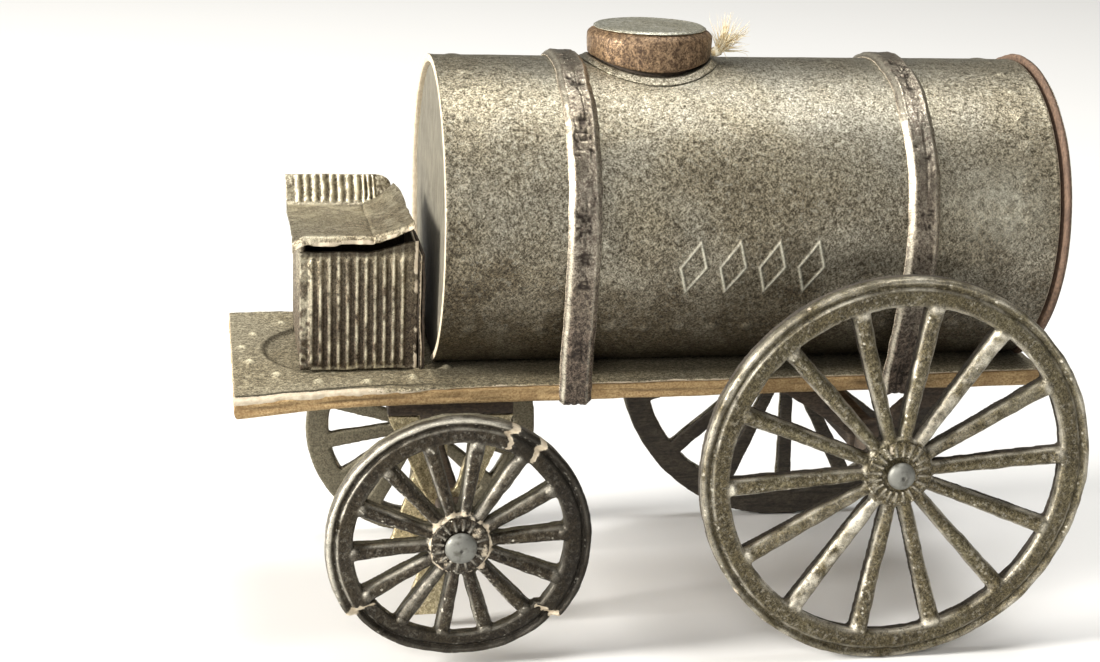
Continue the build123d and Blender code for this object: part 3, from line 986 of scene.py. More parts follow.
def make_strap(name, node, seed):
    """Creased foil-card strap: flat top with cracks, sloping flanks, slightly wavy edges."""
    low, high = box(node)
    middle, half = (low[0] + high[0]) / 2, (high[0] - low[0]) / 2
    thickness = high[2] - tank_high[2]
    route = strap_route(deck_half_width(low[0]), deck_low[2])

    def place(u, v, h):
        wave = 0.07 * line_rough(u, 3.0, seed) + 0.03 * flat_rough(u, v * 3, 0.6, seed + 1)
        y, z = beside_line(u, h, *route)
        return np.stack([middle + v * half + wave, y, z], -1)

    def cracks(u, v):
        """Fine cracks, mostly across the strap, in its flat middle."""
        across = ridge(flat_rough(u, v * 0.5, 0.75, seed + 2), 0.11)
        length = ridge(flat_rough(u * 0.3, v * 2.2, 0.9, seed + 7), 0.08)
        where = step(flat_rough(u, v * 2, 1.8, seed + 3), -0.25, 0.25) * (1 - step(np.abs(v), 0.55, 0.68))
        return np.maximum(across, 0.8 * length) * where

    def top(u, v):
        crown = np.clip((1 - np.abs(v)) / 0.34, 0, 1)
        crown = 0.08 + 0.9 * crown ** 0.8 + 0.07 * ridge(np.abs(v) - 0.62, 0.1)
        split = ridge(v - 0.12 - 0.1 * np.sin(u * 0.31), 0.06)
        split = split * step(line_rough(u, 5.0, seed + 4), -0.1, 0.3)
        dents = 0.12 * flat_rough(u, v * 1.2, 1.0, seed + 5)
        return thickness * (crown * (1 + dents) * 0.93 - 0.3 * cracks(u, v) - 0.16 * split)

    distances = route[0]
    return slab(
        name, place, axis(distances[0], distances[-1], STRAP_STEP, 0.12), axis(-1, 1, 0.075, 0.03),
        top, 0.0, 0.05,
        bare=lambda u, v: (0.55 * (np.abs(v) > 0.97), 1),
        # painted highlight: a bright line down the front flank and a fainter one down the rear flank; the
        # cracks and the middle are darker
        worn=lambda u, v: 0.85 * ridge(v + 0.80, 0.09) + 0.3 * ridge(v - 0.66, 0.07),
        grime=lambda u, v: (0.9 * cracks(u, v) + 0.35 * (1 - step(np.abs(v - 0.05), 0.4, 0.6)), 0),
    )


for strap_name, strap_node, strap_seed in (
    ("front_band", "front_strap", 61),
    ("rear_band", "rear_strap", 71),
):
    strap = make_strap(strap_name, strap_node, strap_seed)
    finish_piece(strap, "chassis", "strap_foil", strap_foil, strap_node)


# ---------------------------------------------------------------- filler

flange_low, flange_high = box("filler_flange")
flange_radius = (flange_high[0] - flange_low[0]) / 2
circle = np.linspace(0, 2 * math.pi, 260, endpoint=False)


def ring_top(u, v):
    return 0.08 + 0.2 * ridge(v - 5.25, 0.28) + 0.02 * disc_rough(u, v, 1, 81)


def on_tank(u, v, h):
    """Point over the tank by the filler's own angle and radius, at a height above the tank."""
    x = lid_centre[0] + v * np.cos(u)
    y = v * np.sin(u)
    return np.stack([x, y, tank_axis + np.sqrt(tank_radius**2 - y**2) + h], -1)


finish_piece(
    slab(
        "filler_ring", on_tank, circle, axis(neck_radius + 0.1, flange_radius, 0.12, 0.1),
        ring_top, -0.02, 0.1, wrap_u=True,
    ),
    "chassis", "tank_foil", tank_foil, "filler_flange",
)


def lid_place(u, v, h):
    """Side of the lid: u is the angle, v the height, h the radius. It leans and bulges a little."""
    share = (v - lid_low[2]) / (lid_high[2] - lid_low[2])
    r = h + 0.05 * flat_rough(12 * np.cos(u), 12 * np.sin(u) + v, 2.2, 83) - 0.10 * (2 * share - 1) ** 2
    notch = 0.14 * ridge(u - 4.35, 0.02) * (1 - share)
    saddle = 0.8 * np.sin(u) ** 2 * (1 - share)
    r = r - 0.55 * np.clip((share - 0.72) / 0.28, 0, 1) ** 2.2
    return np.stack([lid_centre[0] + r * np.cos(u) - notch, r * np.sin(u), v - saddle], -1)


finish_piece(
    slab(
        "filler_lid_band", lid_place, circle, axis(lid_low[2], lid_high[2] + 0.05, 0.12, 0.1),
        lid_radius, neck_radius + 0.15, 0.1, wrap_u=True,
    ),
    "chassis", "lid_card", lid_card, "filler_lid_side",
)
lid_top_low, lid_top_high = box("filler_lid_top")
lid_top_radii = np.concatenate([
    np.linspace(0.0, lid_radius - 0.25, 40), lid_radius - np.array([0.15, 0.07, 0.02, 0.0]),
])


def lid_top_place(u, v, h):
    r = 0.9 * v * (1 + 0.008 * disc_rough(u, 9, 2.0, 85))
    return np.stack([lid_centre[0] + r * np.cos(u), r * np.sin(u), h], -1)


def lid_dome(u, v):
    share = v / lid_radius
    edge_roll = 0.1 * ridge(share - 0.93, 0.05)
    dents = 0.05 * disc_rough(u, v, 2.6, 87)
    return lid_top_high[2] - 0.28 * share**2 - 0.1 + edge_roll + dents * (1 - share**4)


finish_piece(
    slab(
        "filler_lid_disc", lid_top_place, circle, lid_top_radii,
        lid_dome, lid_top_low[2] + 0.02, 0.25, wrap_u=True, pole=True,
        bare=lambda u, v: (0.5 * step(v, lid_radius - 0.12, lid_radius), 0),
    ),
    "chassis", "tank_foil", lid_foil, "filler_lid_top",
)

thread_low, thread_high = box("hanging_thread")
THREAD_FIBRES = 110
THREAD_KNOT = np.array([thread_low[0] + 0.5, (thread_low[1] + thread_high[1]) / 2, thread_low[2] + 0.5])


def tube(points, radii, samples=6):
    """Thin closed tube along a few points, with pinched ends."""
    points = np.asarray(points, float)
    along = np.gradient(points, axis=0)
    along /= np.linalg.norm(along, axis=1)[:, None]
    side = np.cross(along, (0.3, 1.0, 0.2))
    side /= np.linalg.norm(side, axis=1)[:, None]
    up = np.cross(along, side)
    turn = np.linspace(0, 2 * math.pi, samples, endpoint=False)
    ring = points[:, None] + np.asarray(radii)[:, None, None] * (
        np.cos(turn)[None, :, None] * side[:, None] + np.sin(turn)[None, :, None] * up[:, None]
    )
    return ring.reshape(-1, 3), grid_faces(len(points), samples, wrap_v=True)


def thread_tuft():
    """Knot of a cut thread with its frayed fibres standing out of it."""
    draw = np.random.default_rng(5)
    parts = [
        ball(THREAD_KNOT, (0.52, 0.42, 0.4), 16),
        ball(THREAD_KNOT + (0.45, 0.1, 0.3), (0.45, 0.35, 0.4), 14),
    ]
    share = np.linspace(0, 1, 9)[:, None]
    for _ in range(THREAD_FIBRES):
        aim = np.array([0.62, 0.0, 0.78]) + draw.normal(0, 0.5, 3)
        aim /= np.linalg.norm(aim)
        start = THREAD_KNOT + (0.35, 0.05, 0.25) + draw.normal(0, 0.14, 3)
        reach = draw.uniform(1.5, 3.5)
        bend = draw.normal(0, 0.5, 3)
        line = start + aim * reach * share + bend * share**2
        line = np.clip(line, thread_low + 0.05, thread_high - 0.05)
        width = draw.uniform(0.04, 0.075)
        parts.append(tube(line, width * (1.02 - share[:, 0])))
    for k in range(3):
        turn = np.linspace(0, 2.6, 12)
        lay = np.stack([0.42 * np.cos(turn + k), 0.3 * np.sin(turn + k), 0.12 * k - 0.1 + 0.2 * turn], -1)
        parts.append(tube(THREAD_KNOT + (0.1, 0, -0.1) + lay * 0.8, np.full(12, 0.13)))
    points, faces = joined(parts)
    return build("thread_tuft", points, faces, merge=False)


finish_piece(thread_tuft(), "chassis", "cream_thread", cream_thread, "hanging_thread")


# ---------------------------------------------------------------- driver's seat

SEAT_RIBS = 11
RIB_SPACE = 0.3  # how far the CAD seat's outline goes past its card on the ribbed side
SEAT_CARD = 0.5  # thickness of the seat's side card


def seat_ribs(u, count=SEAT_RIBS, low=seat_low[0] + 0.55, high=seat_high[0] - 0.9):
    """Row of half-round vertical ribs, 1 on each crest."""
    pitch = (high - low) / count
    phase = (u - low) / pitch
    crest = np.abs(phase - np.floor(phase) - 0.5) * pitch
    return bump_dot(crest, 0.27) * (u > low) * (u < high)


def make_seat_side(name, node, side, seed):
    """Ribbed side of the seat, with a plain margin at its rear and crumpled foil at its front edge."""
    low, high = box(node)
    inner = low[1] + RIB_SPACE + SEAT_CARD if side < 0 else high[1] - RIB_SPACE - SEAT_CARD
    face = inner + side * SEAT_CARD

    def place(u, v, h):
        lean = 0.12 * step(v, high[2] - 2, high[2]) * flat_rough(u, v, 2.0, seed)
        v = v + 0.9 * step(u, high[0] - 4.4, high[0]) ** 1.3 * step(v, high[2] - 0.4, high[2] + 0.3)
        return np.stack([u, face + side * (h + lean), v + 0.06 * flat_rough(u, v, 1.3, seed + 1)], -1)

    def top(u, v):
        fade = step(v, low[2] + 0.25, low[2] + 0.7) * (1 - step(v, high[2] - 0.6, high[2] - 0.15))
        crush = 0.09 * flat_rough(u, v, 0.55, seed + 2) * (1 - step(u, low[0] + 0.4, low[0] + 1.6))
        uneven = 0.85 + 0.25 * flat_rough(u, v, 2.5, seed + 3)
        border = 0.08 * step(u, high[0] - 0.8, high[0] - 0.6)
        return 0.24 * seat_ribs(u) * fade * uneven + crush + border + 0.012 * flat_rough(u, v, 0.35, seed + 4)

    def bare(u, v):
        margin = step(u, high[0] - 0.6, high[0] - 0.2) * 0.9
        foot = 1 - step(v, low[2] + 0.05, low[2] + 0.3)
        return np.maximum(margin, 0.5 * foot) * (0.6 + 0.5 * flat_rough(u, v, 0.9, seed + 5)), 0

    def worn(u, v):
        """Thin broken painted highlights on the ribs, and bright crumpled foil down the front edge and along
        the foot.
        """
        crests = 1.3 * seat_ribs(u) ** 14 * (0.55 + 0.9 * flat_rough(u, v, 0.8, seed + 6))
        front = 1 - step(u, low[0] + 0.3, low[0] + 1.3)
        crumpled = np.maximum(front, 1 - step(v, low[2] + 0.15, low[2] + 0.45))
        return np.maximum(crests, 0.8 * crumpled * step(flat_rough(u, v, 0.4, seed + 7), -0.3, 0.6))

    # painted shade between the ribs, under the tray's lip, and over the whole inner side
    def grime(u, v):
        return np.maximum(0.4 * (1 - seat_ribs(u)), 0.8 * step(v, high[2] - 0.25, high[2])), 0.9

    return slab(
        name, place, axis(low[0], high[0], 0.07, 0.08), axis(low[2], high[2] + 0.3, 0.12, 0.08),
        top, -0.42, 0.08, bare=bare, worn=worn, grime=grime,
    )


for side_name, side_node, seat_side, side_seed in (
    ("seat_left_ribs", "seat_left_side", -1, 91),
    ("seat_right_ribs", "seat_right_side", 1, 101),
):
    ribbed_side = make_seat_side(side_name, side_node, seat_side, side_seed)
    finish_piece(ribbed_side, "chassis", "seat_foil", seat_foil, side_node)

front_low, front_high = box("seat_front")


def front_top(u, v):
    """Ribs of the seat's front, above a plain foot."""
    ribs = seat_ribs(u, 12, front_low[1] + 0.6, front_high[1] - 0.6)
    ribs = 0.16 * ribs * step(v, front_low[2] + 0.4, front_low[2] + 0.9)
    return ribs - 0.1 + 0.03 * flat_rough(u, v, 0.8, 111)


finish_piece(
    slab(
        "seat_front_foil",
        lambda u, v, h: np.stack([front_low[0] - h, u, v], -1),
        axis(front_low[1], front_high[1], 0.12, 0.08), axis(front_low[2], front_high[2], 0.12, 0.08),
        front_top, front_low[0] - front_high[0], 0.08,
        # painted shade over the inner face
        grime=lambda u, v: (0, 0.9),
    ),
    "chassis", "seat_foil", seat_foil, "seat_front",
)

back_low, back_high = box("seat_back")


def back_layer(name, x_low, x_high, grow, seed):
    """One layer of the card behind the seat, with a ragged outline."""
    return slab(
        name,
        lambda u, v, h: np.stack([
            h + 0.08 * flat_rough(u, v, 3.0, seed),
            u * (1 + 0.02 * flat_rough(u * 0.2, v, 0.8, seed + 1)),
            v + 0.05 * flat_rough(u, v * 0.2, 0.8, seed + 2) * step(v, 32, 33),
        ], -1),
        axis(back_low[1] - grow, back_high[1] + grow, 0.14, 0.06),
        axis(back_low[2] + 0.05, back_high[2] - 0.7, 0.14, 0.06),
        x_high, x_low, 0.06,
        bare=lambda u, v: (0.75 + 0.3 * flat_rough(u, v, 1.0, seed + 3), 0),
        # painted shade over the front face
        grime=lambda u, v: (0, 0.85),
    )


back_inner = back_layer("seat_back_inner", back_low[0] + 0.02, back_low[0] + 0.26, 0.28, 121)
finish_piece(back_inner, "chassis", "seat_foil", seat_foil, "seat_back")
back_outer = back_layer("seat_back_outer", back_low[0] + 0.34, back_high[0] - 0.04, 0.12, 131)
finish_piece(back_outer, "chassis", "dark_card", dark_card)

wing_top = box("seat_right_wing")[1][2]
rest_low, rest_high = box("seat_backrest")


def tray_route():
    """Section of the seat's folded tray from its curled left lip, across the pan, up the right wing."""
    pan_z = pan_high[2] + 0.1
    left, right = pan_low[1], pan_high[1]
    corners = np.array([
        [left - 0.05, pan_z - 0.25], [left + 0.05, pan_z + 0.3], [left + 0.7, pan_z + 0.22],
        [left + 2.2, pan_z], [right - 1.0, pan_z], [right - 0.55, pan_z + 0.4],
        [right - 0.05, wing_top - 0.1],
    ])
    s, line, normal = along_line(corners, 0.1, 6)
    return s, line, -normal


tray_s, tray_line, tray_normal = tray_route()
TRAY_THICKNESS = 0.26


def tray_place(u, v, h):
    """u is X, v the distance along the tray's section, h the height over the sheet."""
    y, z = beside_line(v, h, tray_s, tray_line, tray_normal)
    wing = step(y, pan_high[1] - 1.2, pan_high[1] - 0.4)
    back = np.clip((u - rest_low[0]) / (rest_high[0] - rest_low[0]), 0, 1)
    far = step(y, -1.0, pan_high[1] - 0.8)
    z = z + (1.1 * back**1.6 + 0.1 * step(back, 0, 0.1) + 0.8 * back**1.5 * far**2) * (1 - wing)
    fall = 1 - np.sqrt(1 - np.clip((back - 0.45) / 0.55, 0, 1) ** 2)
    z = z - wing * fall * (z - pan_high[2]) * 0.35
    u = u - 1.0 * back - 0.8 * back * step(y, 1.0, pan_high[1]) ** 2
    corner = step(-u, 29.2, 30.4) * step(-y, 4.6, 6.6)
    z = z - 0.75 * corner
    lip = 1 - step(v, 0, 0.9)
    z = z + lip * 0.16 * line_rough(u, 1.8, 141) + 0.04 * flat_rough(u, y, 3.0, 143)
    y = y + lip * 0.14 * line_rough(u, 1.0, 145)
    return np.stack([u + 0.05 * flat_rough(y, z, 1.2, 146), y, z], -1)


def wing_share(v):
    """1 on the tray's right wing, 0 elsewhere."""
    return step(np.interp(v, tray_s, tray_line[:, 0]), pan_high[1] - 1.0, pan_high[1] - 0.5)


def wing_ribs(u):
    return seat_ribs(u, SEAT_RIBS, pan_low[0] + 0.7, rest_high[0] - 2.2)


def tray_top(u, v):
    wing = wing_share(v)
    crush = 0.05 * flat_rough(u, v, 0.6, 147) * wing
    crease = -0.09 * ridge(u - rest_low[0] - 0.1, 0.1) * (1 - wing)
    relief = TRAY_THICKNESS / 2 + 0.19 * wing_ribs(u) * wing + crush + crease
    return relief + 0.02 * flat_rough(u, v, 0.8, 149)


def tray_wear_and_highlight(u, v):
    wing = wing_share(v)
    # painted highlights on the wing's rib crests, and rubbed patches on the pan
    crests = wing_ribs(u) ** 3 * (0.7 + 0.5 * flat_rough(u, v, 0.9, 157))
    rubbed_and_reflection = 0.4 * step(flat_rough(u, v, 0.9, 155), -0.1, 0.8)
    return wing * crests + (1 - wing) * rubbed_and_reflection


def tray_bare(u, v):
    lip = (1 - step(v, 0.2, 0.55)) * (0.65 + 0.4 * flat_rough(u, v, 0.8, 151))
    return lip, 0.35 + 0.3 * flat_rough(u, v, 1.5, 153)


finish_piece(
    slab(
        "seat_tray", tray_place,
        axis(pan_low[0], rest_high[0], 0.1, 0.06), axis(tray_s[0], tray_s[-1], 0.1, 0.08),
        tray_top, -TRAY_THICKNESS / 2, 0.07, bare=tray_bare, worn=tray_wear_and_highlight,
    ),
    "chassis", "seat_foil", seat_foil, "seat_pan", "seat_right_wing", "seat_backrest", "seat_left_lip",
)


# ---------------------------------------------------------------- undercarriage

def rough_block(name, low, high, seed, depth=0.06, size=1.2, spacing=0.3):
    """Block of glued card with worn edges and uneven faces."""
    low, high = np.asarray(low, float), np.asarray(high, float)
    half = (high - low) / 2
    parts = []
    for ax in range(3):
        a, b = (ax + 1) % 3, (ax + 2) % 3
        us = np.linspace(-1, 1, max(3, int(2 * half[a] / spacing)))
        vs = np.linspace(-1, 1, max(3, int(2 * half[b] / spacing)))
        u, v = np.meshgrid(us, vs, indexing="ij")
        for sign in (-1, 1):
            p = np.empty(u.shape + (3,))
            p[..., ax], p[..., a], p[..., b] = sign, u, v
            parts.append((p.reshape(-1, 3), grid_faces(len(us), len(vs), flip=sign < 0)))
    points, faces = joined(parts)
    soft = np.abs(points)
    # how far the worn edges and corners are pulled in
    worn = 1 - 0.10 * np.prod(np.sort(soft, 1)[:, 1:], 1)[:, None] ** 6 / np.maximum(half, 1)
    points = (low + high) / 2 + points * half * worn
    shift = np.stack([rough(points, size, seed + k) for k in range(3)], -1)
    points = points + depth * (shift - 1) * np.sign(points - (low + high) / 2) * 0.5
    return build(name, points, faces)


LEG_ROWS, LEG_COLUMNS = 22, 9  # mesh points along and across a leg


def leg(a, b, width_a, width_b, y_low, y_high, seed):
    """Flat card leg from a to b in the XZ plane, as points and faces."""
    share = np.linspace(0, 1, LEG_ROWS)
    across = np.linspace(-0.5, 0.5, LEG_COLUMNS)
    s, t = np.meshgrid(share, across, indexing="ij")
    a, b = np.asarray(a, float), np.asarray(b, float)
    width = width_a + (width_b - width_a) * s
    x = a[0] + (b[0] - a[0]) * s + width * t
    z = a[1] + (b[1] - a[1]) * s
    bend = 0.12 * flat_rough(s * 6, t * 3, 1.7, seed)
    points = [np.stack([x, y + bend, z], -1).reshape(-1, 3) for y in (y_low, y_high)]
    n = s.size
    long_edge = np.arange(LEG_ROWS - 1) * LEG_COLUMNS
    short_edge = np.arange(LEG_COLUMNS - 1)
    long_wall = np.stack([long_edge, long_edge + LEG_COLUMNS, long_edge + LEG_COLUMNS + n, long_edge + n], -1)
    short_wall = np.stack([short_edge, short_edge + 1, short_edge + 1 + n, short_edge + n], -1)
    faces = [
        grid_faces(LEG_ROWS, LEG_COLUMNS),
        grid_faces(LEG_ROWS, LEG_COLUMNS, start=n, flip=True),
        long_wall,
        long_wall[:, ::-1] + LEG_COLUMNS - 1,
        short_wall[:, ::-1],
        short_wall + (LEG_ROWS - 1) * LEG_COLUMNS,
    ]
    return np.concatenate(points), np.concatenate(faces)


BRACKET_FOOT = 3.6  # height of the foot in which a bracket's legs meet


def make_bracket(name, node, axle_node, seed):
    """V-shaped card bracket: two legs that meet in a foot round the axle. The front ones go on below it."""
    low, high = box(node)
    middle = (low[0] + high[0]) / 2
    span = high[0] - low[0]
    foot = BRACKET_FOOT
    axle_low, axle_high = box(axle_node)
    axle_z = (axle_low[2] + axle_high[2]) / 2
    foot_z = axle_z - foot / 2
    parts = [
        leg((middle + sign * span * 0.375, high[2]), (middle + sign * 0.9, axle_z + 0.6), span / 4, 1.7,
            low[1], high[1], seed)
        for sign in (-1, 1)
    ]
    foot_top, foot_end = (middle, axle_z + foot / 2), (middle, foot_z + 0.05)
    parts.append(leg(foot_top, foot_end, foot * 0.95, foot * 0.9, low[1], high[1], seed))
    if foot_z - low[2] > 1:
        tail_x = middle - 1.9
        parts.append(leg((middle, foot_z + 0.5), (tail_x, low[2] + 0.1), 2.2, 3.6, low[1], high[1], seed + 3))
    piece = fused(name, parts, 0.13, 2)
    reshape(piece, lambda p, n: p + 0.07 * n * rough(p, 0.9, seed + 5)[:, None] - 0.02 * n)
    return piece


bolster_low, bolster_high = box("front_bolster")
bolster = rough_block("front_bolster_card", bolster_low, bolster_high, 161)
finish_piece(bolster, "chassis", "dark_card", dark_card, "front_bolster")
for bracket_node, bracket_axle, bracket_slot, bracket_material, bracket_seed in (
    ("front_left_bracket", "front_axle", "bracket_foil", bracket_foil, 171),
    ("front_right_bracket", "front_axle", "bracket_foil", bracket_foil, 181),
    ("rear_left_hanger", "rear_axle", "dark_card", dark_card, 191),
    ("rear_right_hanger", "rear_axle", "dark_card", dark_card, 201),
):
    bracket = make_bracket(bracket_node + "_card", bracket_node, bracket_axle, bracket_seed)
    finish_piece(bracket, "chassis", bracket_slot, bracket_material, bracket_node)
for axle_node, axle_seed in (("front_axle", 211), ("rear_axle", 221)):
    axle_low, axle_high = box(axle_node)
    axle = rough_block(axle_node + "_bar", axle_low, axle_high, axle_seed, depth=0.05, size=0.8, spacing=0.2)
    finish_piece(axle, "chassis", "dark_card", dark_card, axle_node)


# ---------------------------------------------------------------- wheels and nails

SPOKES = 14
NAIL_HOLE = 0.62  # radius of the hole in a wheel
TYRE_BEAD = 0.62  # width of the round bead of a tyre
FACE_BACK = -0.95  # back of an embossed wheel face, from its outer plane
FACE_THICKNESS = 1.0
HALF_SPOKE = 0.725  # half the width of a CAD spoke at the rim

# grid is the spacing of the mesh that a wheel's skin is drawn on
WheelKind = namedtuple("WheelKind", "rim_width hub slim beads grid backing")
WHEEL_KINDS = {
    "front": WheelKind(rim_width=2.2, hub=2.6, slim=0.86, beads=16, grid=0.09, backing=worn_backing),
    "rear": WheelKind(rim_width=2.4, hub=3.0, slim=1.0, beads=20, grid=0.11, backing=shaded_backing_card),
}
Wheel = namedtuple("Wheel", "prefix kind centre radius rim side outer inner phase seed cracked skin")


def wheel_facts(prefix, seed, cracked):
    """Where a wheel is, its side and planes, and its spokes' phase, from its CAD node."""
    node = prefix + "_wheel_face"
    kind = WHEEL_KINDS[prefix.split("_")[0]]
    low, high = box(node)
    centre = (low + high) / 2
    side = -1 if centre[1] < 0 else 1
    outer, inner = (low[1], high[1]) if side < 0 else (high[1], low[1])
    radius = (high[0] - low[0]) / 2
    rim = radius - kind.rim_width
    points = node_points(node) - centre
    r = np.hypot(points[:, 0], points[:, 2])
    tips = points[(r > rim - 0.02) & (r < rim + 0.02)]
    angles = np.arctan2(tips[:, 2], tips[:, 0])
    pitch = 2 * math.pi / SPOKES
    gaps = np.angle(np.mean(np.exp(1j * angles * SPOKES))) / SPOKES
    candidates = (gaps, gaps + pitch / 2)
    half_spoke = HALF_SPOKE / rim  # no rim points lie where a spoke meets the rim
    near = [np.abs((angles - c + pitch / 2) % pitch - pitch / 2) for c in candidates]
    phase = candidates[int(np.argmin([np.mean(n < half_spoke) for n in near]))]
    skin = cracked_foil if cracked else wheel_foil
    return Wheel(prefix, kind, centre, radius, rim, side, outer, inner, phase, seed, cracked, skin)


def to_wheel(points, centre, side, plane):
    """From a wheel's own frame, whose second value is the distance out of a plane, to the wagon's."""
    moved = np.array(points)
    moved[:, 0] += centre[0]
    moved[:, 1] = plane + side * moved[:, 1]
    moved[:, 2] += centre[2]
    return moved


def fused_on(wheel, name, plane, parts, grid, smoothing):
    """One skin round parts that are given in a wheel's own frame."""
    placed = [(to_wheel(points, wheel.centre, wheel.side, plane), faces) for points, faces in parts]
    return fused(wheel.prefix + name, placed, grid, smoothing)


def directions(count, phase, offset=0):
    """Directions along and across each of a wheel's spokes or beads."""
    for k in range(count):
        turn = phase + 2 * math.pi * (k + offset) / count
        yield np.array([math.cos(turn), 0, math.sin(turn)]), np.array([-math.sin(turn), 0, math.cos(turn)])


def keep_inside(points, centre, limit):
    """Pull points back to within a distance of a wheel's axis."""
    off = points[:, [0, 2]] - centre[[0, 2]]
    keep = np.minimum(1, limit / np.maximum(np.hypot(*off.T), 1e-6))
    points[:, 0] = centre[0] + off[:, 0] * keep
    points[:, 2] = centre[2] + off[:, 1] * keep


def damage(points, centre, radius):
    """How a cracked and crushed wheel has moved: its bottom is pushed up and in between two breaks."""
    x, z = points[:, 0] - centre[0], points[:, 2] - centre[2]
    r = np.hypot(x, z)
    angle = np.degrees(np.arctan2(z, x))
    outer = step(r, 0.55 * radius, 0.95 * radius)
    broken = step(angle, -147, -144) * (1 - step(angle, -41, -38))
    crush = 0.45 + 0.65 * ridge(angle + 95, 38)
    pushed = broken * crush * outer
    bend = broken * 0.35 * outer
    patch = step(angle, 51, 53) * (1 - step(angle, 66, 68)) * outer
    crack = np.zeros_like(r)
    for at, jag in ((67, 0.7), (52, 0.4), (-145, 0.8), (-39, 0.8)):
        away = (angle - at) * math.pi / 180 * r + 0.45 * jag * line_rough(r, 0.5, at + 500)
        width = 0.26 + 0.22 * step(r, 0.85 * radius, radius)
        crack = np.maximum(crack, ridge(away, width) * step(r, 0.78 * radius, 0.84 * radius))
    # darker over a patch between the upper cracks and over the broken segment, and painted shade over the
    # wheel's rear half
    dark = np.maximum.reduce([0.75 * patch, 0.55 * broken * outer, 0.7 * step(x, 1, 7) * outer])
    return pushed / np.maximum(r, 1) * -1, bend, dark, crack


def push_in(points, push, centre):
    """Move points towards a wheel's axis by a share of their distance from it."""
    for k in (0, 2):
        points[:, k] += push * (points[:, k] - centre[k])


def wheel_face_parts(wheel):
    """Embossed face in the wheel's own frame: tyre bead, groove, felloe, hub, spokes with collars."""
    radius, rim, hub, slim = wheel.radius, wheel.rim, wheel.kind.hub, wheel.kind.slim
    groove = radius - TYRE_BEAD
    felloe = [
        (rim + 0.03, FACE_BACK), (rim - 0.02, -0.5), (rim + 0.03, -0.2), (rim + 0.25, -0.06),
        (groove - 0.42, -0.06), (groove - 0.26, -0.20), (groove - 0.12, -0.42), (groove + 0.02, -0.22),
        (radius - TYRE_BEAD / 2, 0.0), (radius - 0.1, -0.14), (radius - 0.02, -0.4),
        (radius - 0.02, FACE_BACK),
    ]
    dish = [
        (NAIL_HOLE, FACE_BACK), (NAIL_HOLE, -0.30), (1.5, -0.26), (hub - 0.55, -0.02), (hub - 0.2, -0.08),
        (hub, -0.4), (hub, FACE_BACK),
    ]
    parts = [turned(felloe, 220), turned(dish, 90)]
    back = np.array([0, FACE_BACK, 0])
    for along, across in directions(SPOKES, wheel.phase):
        parts.append(bar(
            along * (hub - 0.6) + back, along * (rim + 0.4) + back,
            lambda s: slim * (0.54 + 0.22 * s),
            lambda s: 0.86 - 0.10 * np.sin(math.pi * s),
            across, rounding=1.9, base=0.25,
        ))
        parts.append(ball(along * (rim - 0.12) + (0, -0.24, 0), (0.6 * slim, 0.30, 0.6 * slim)))
    return parts


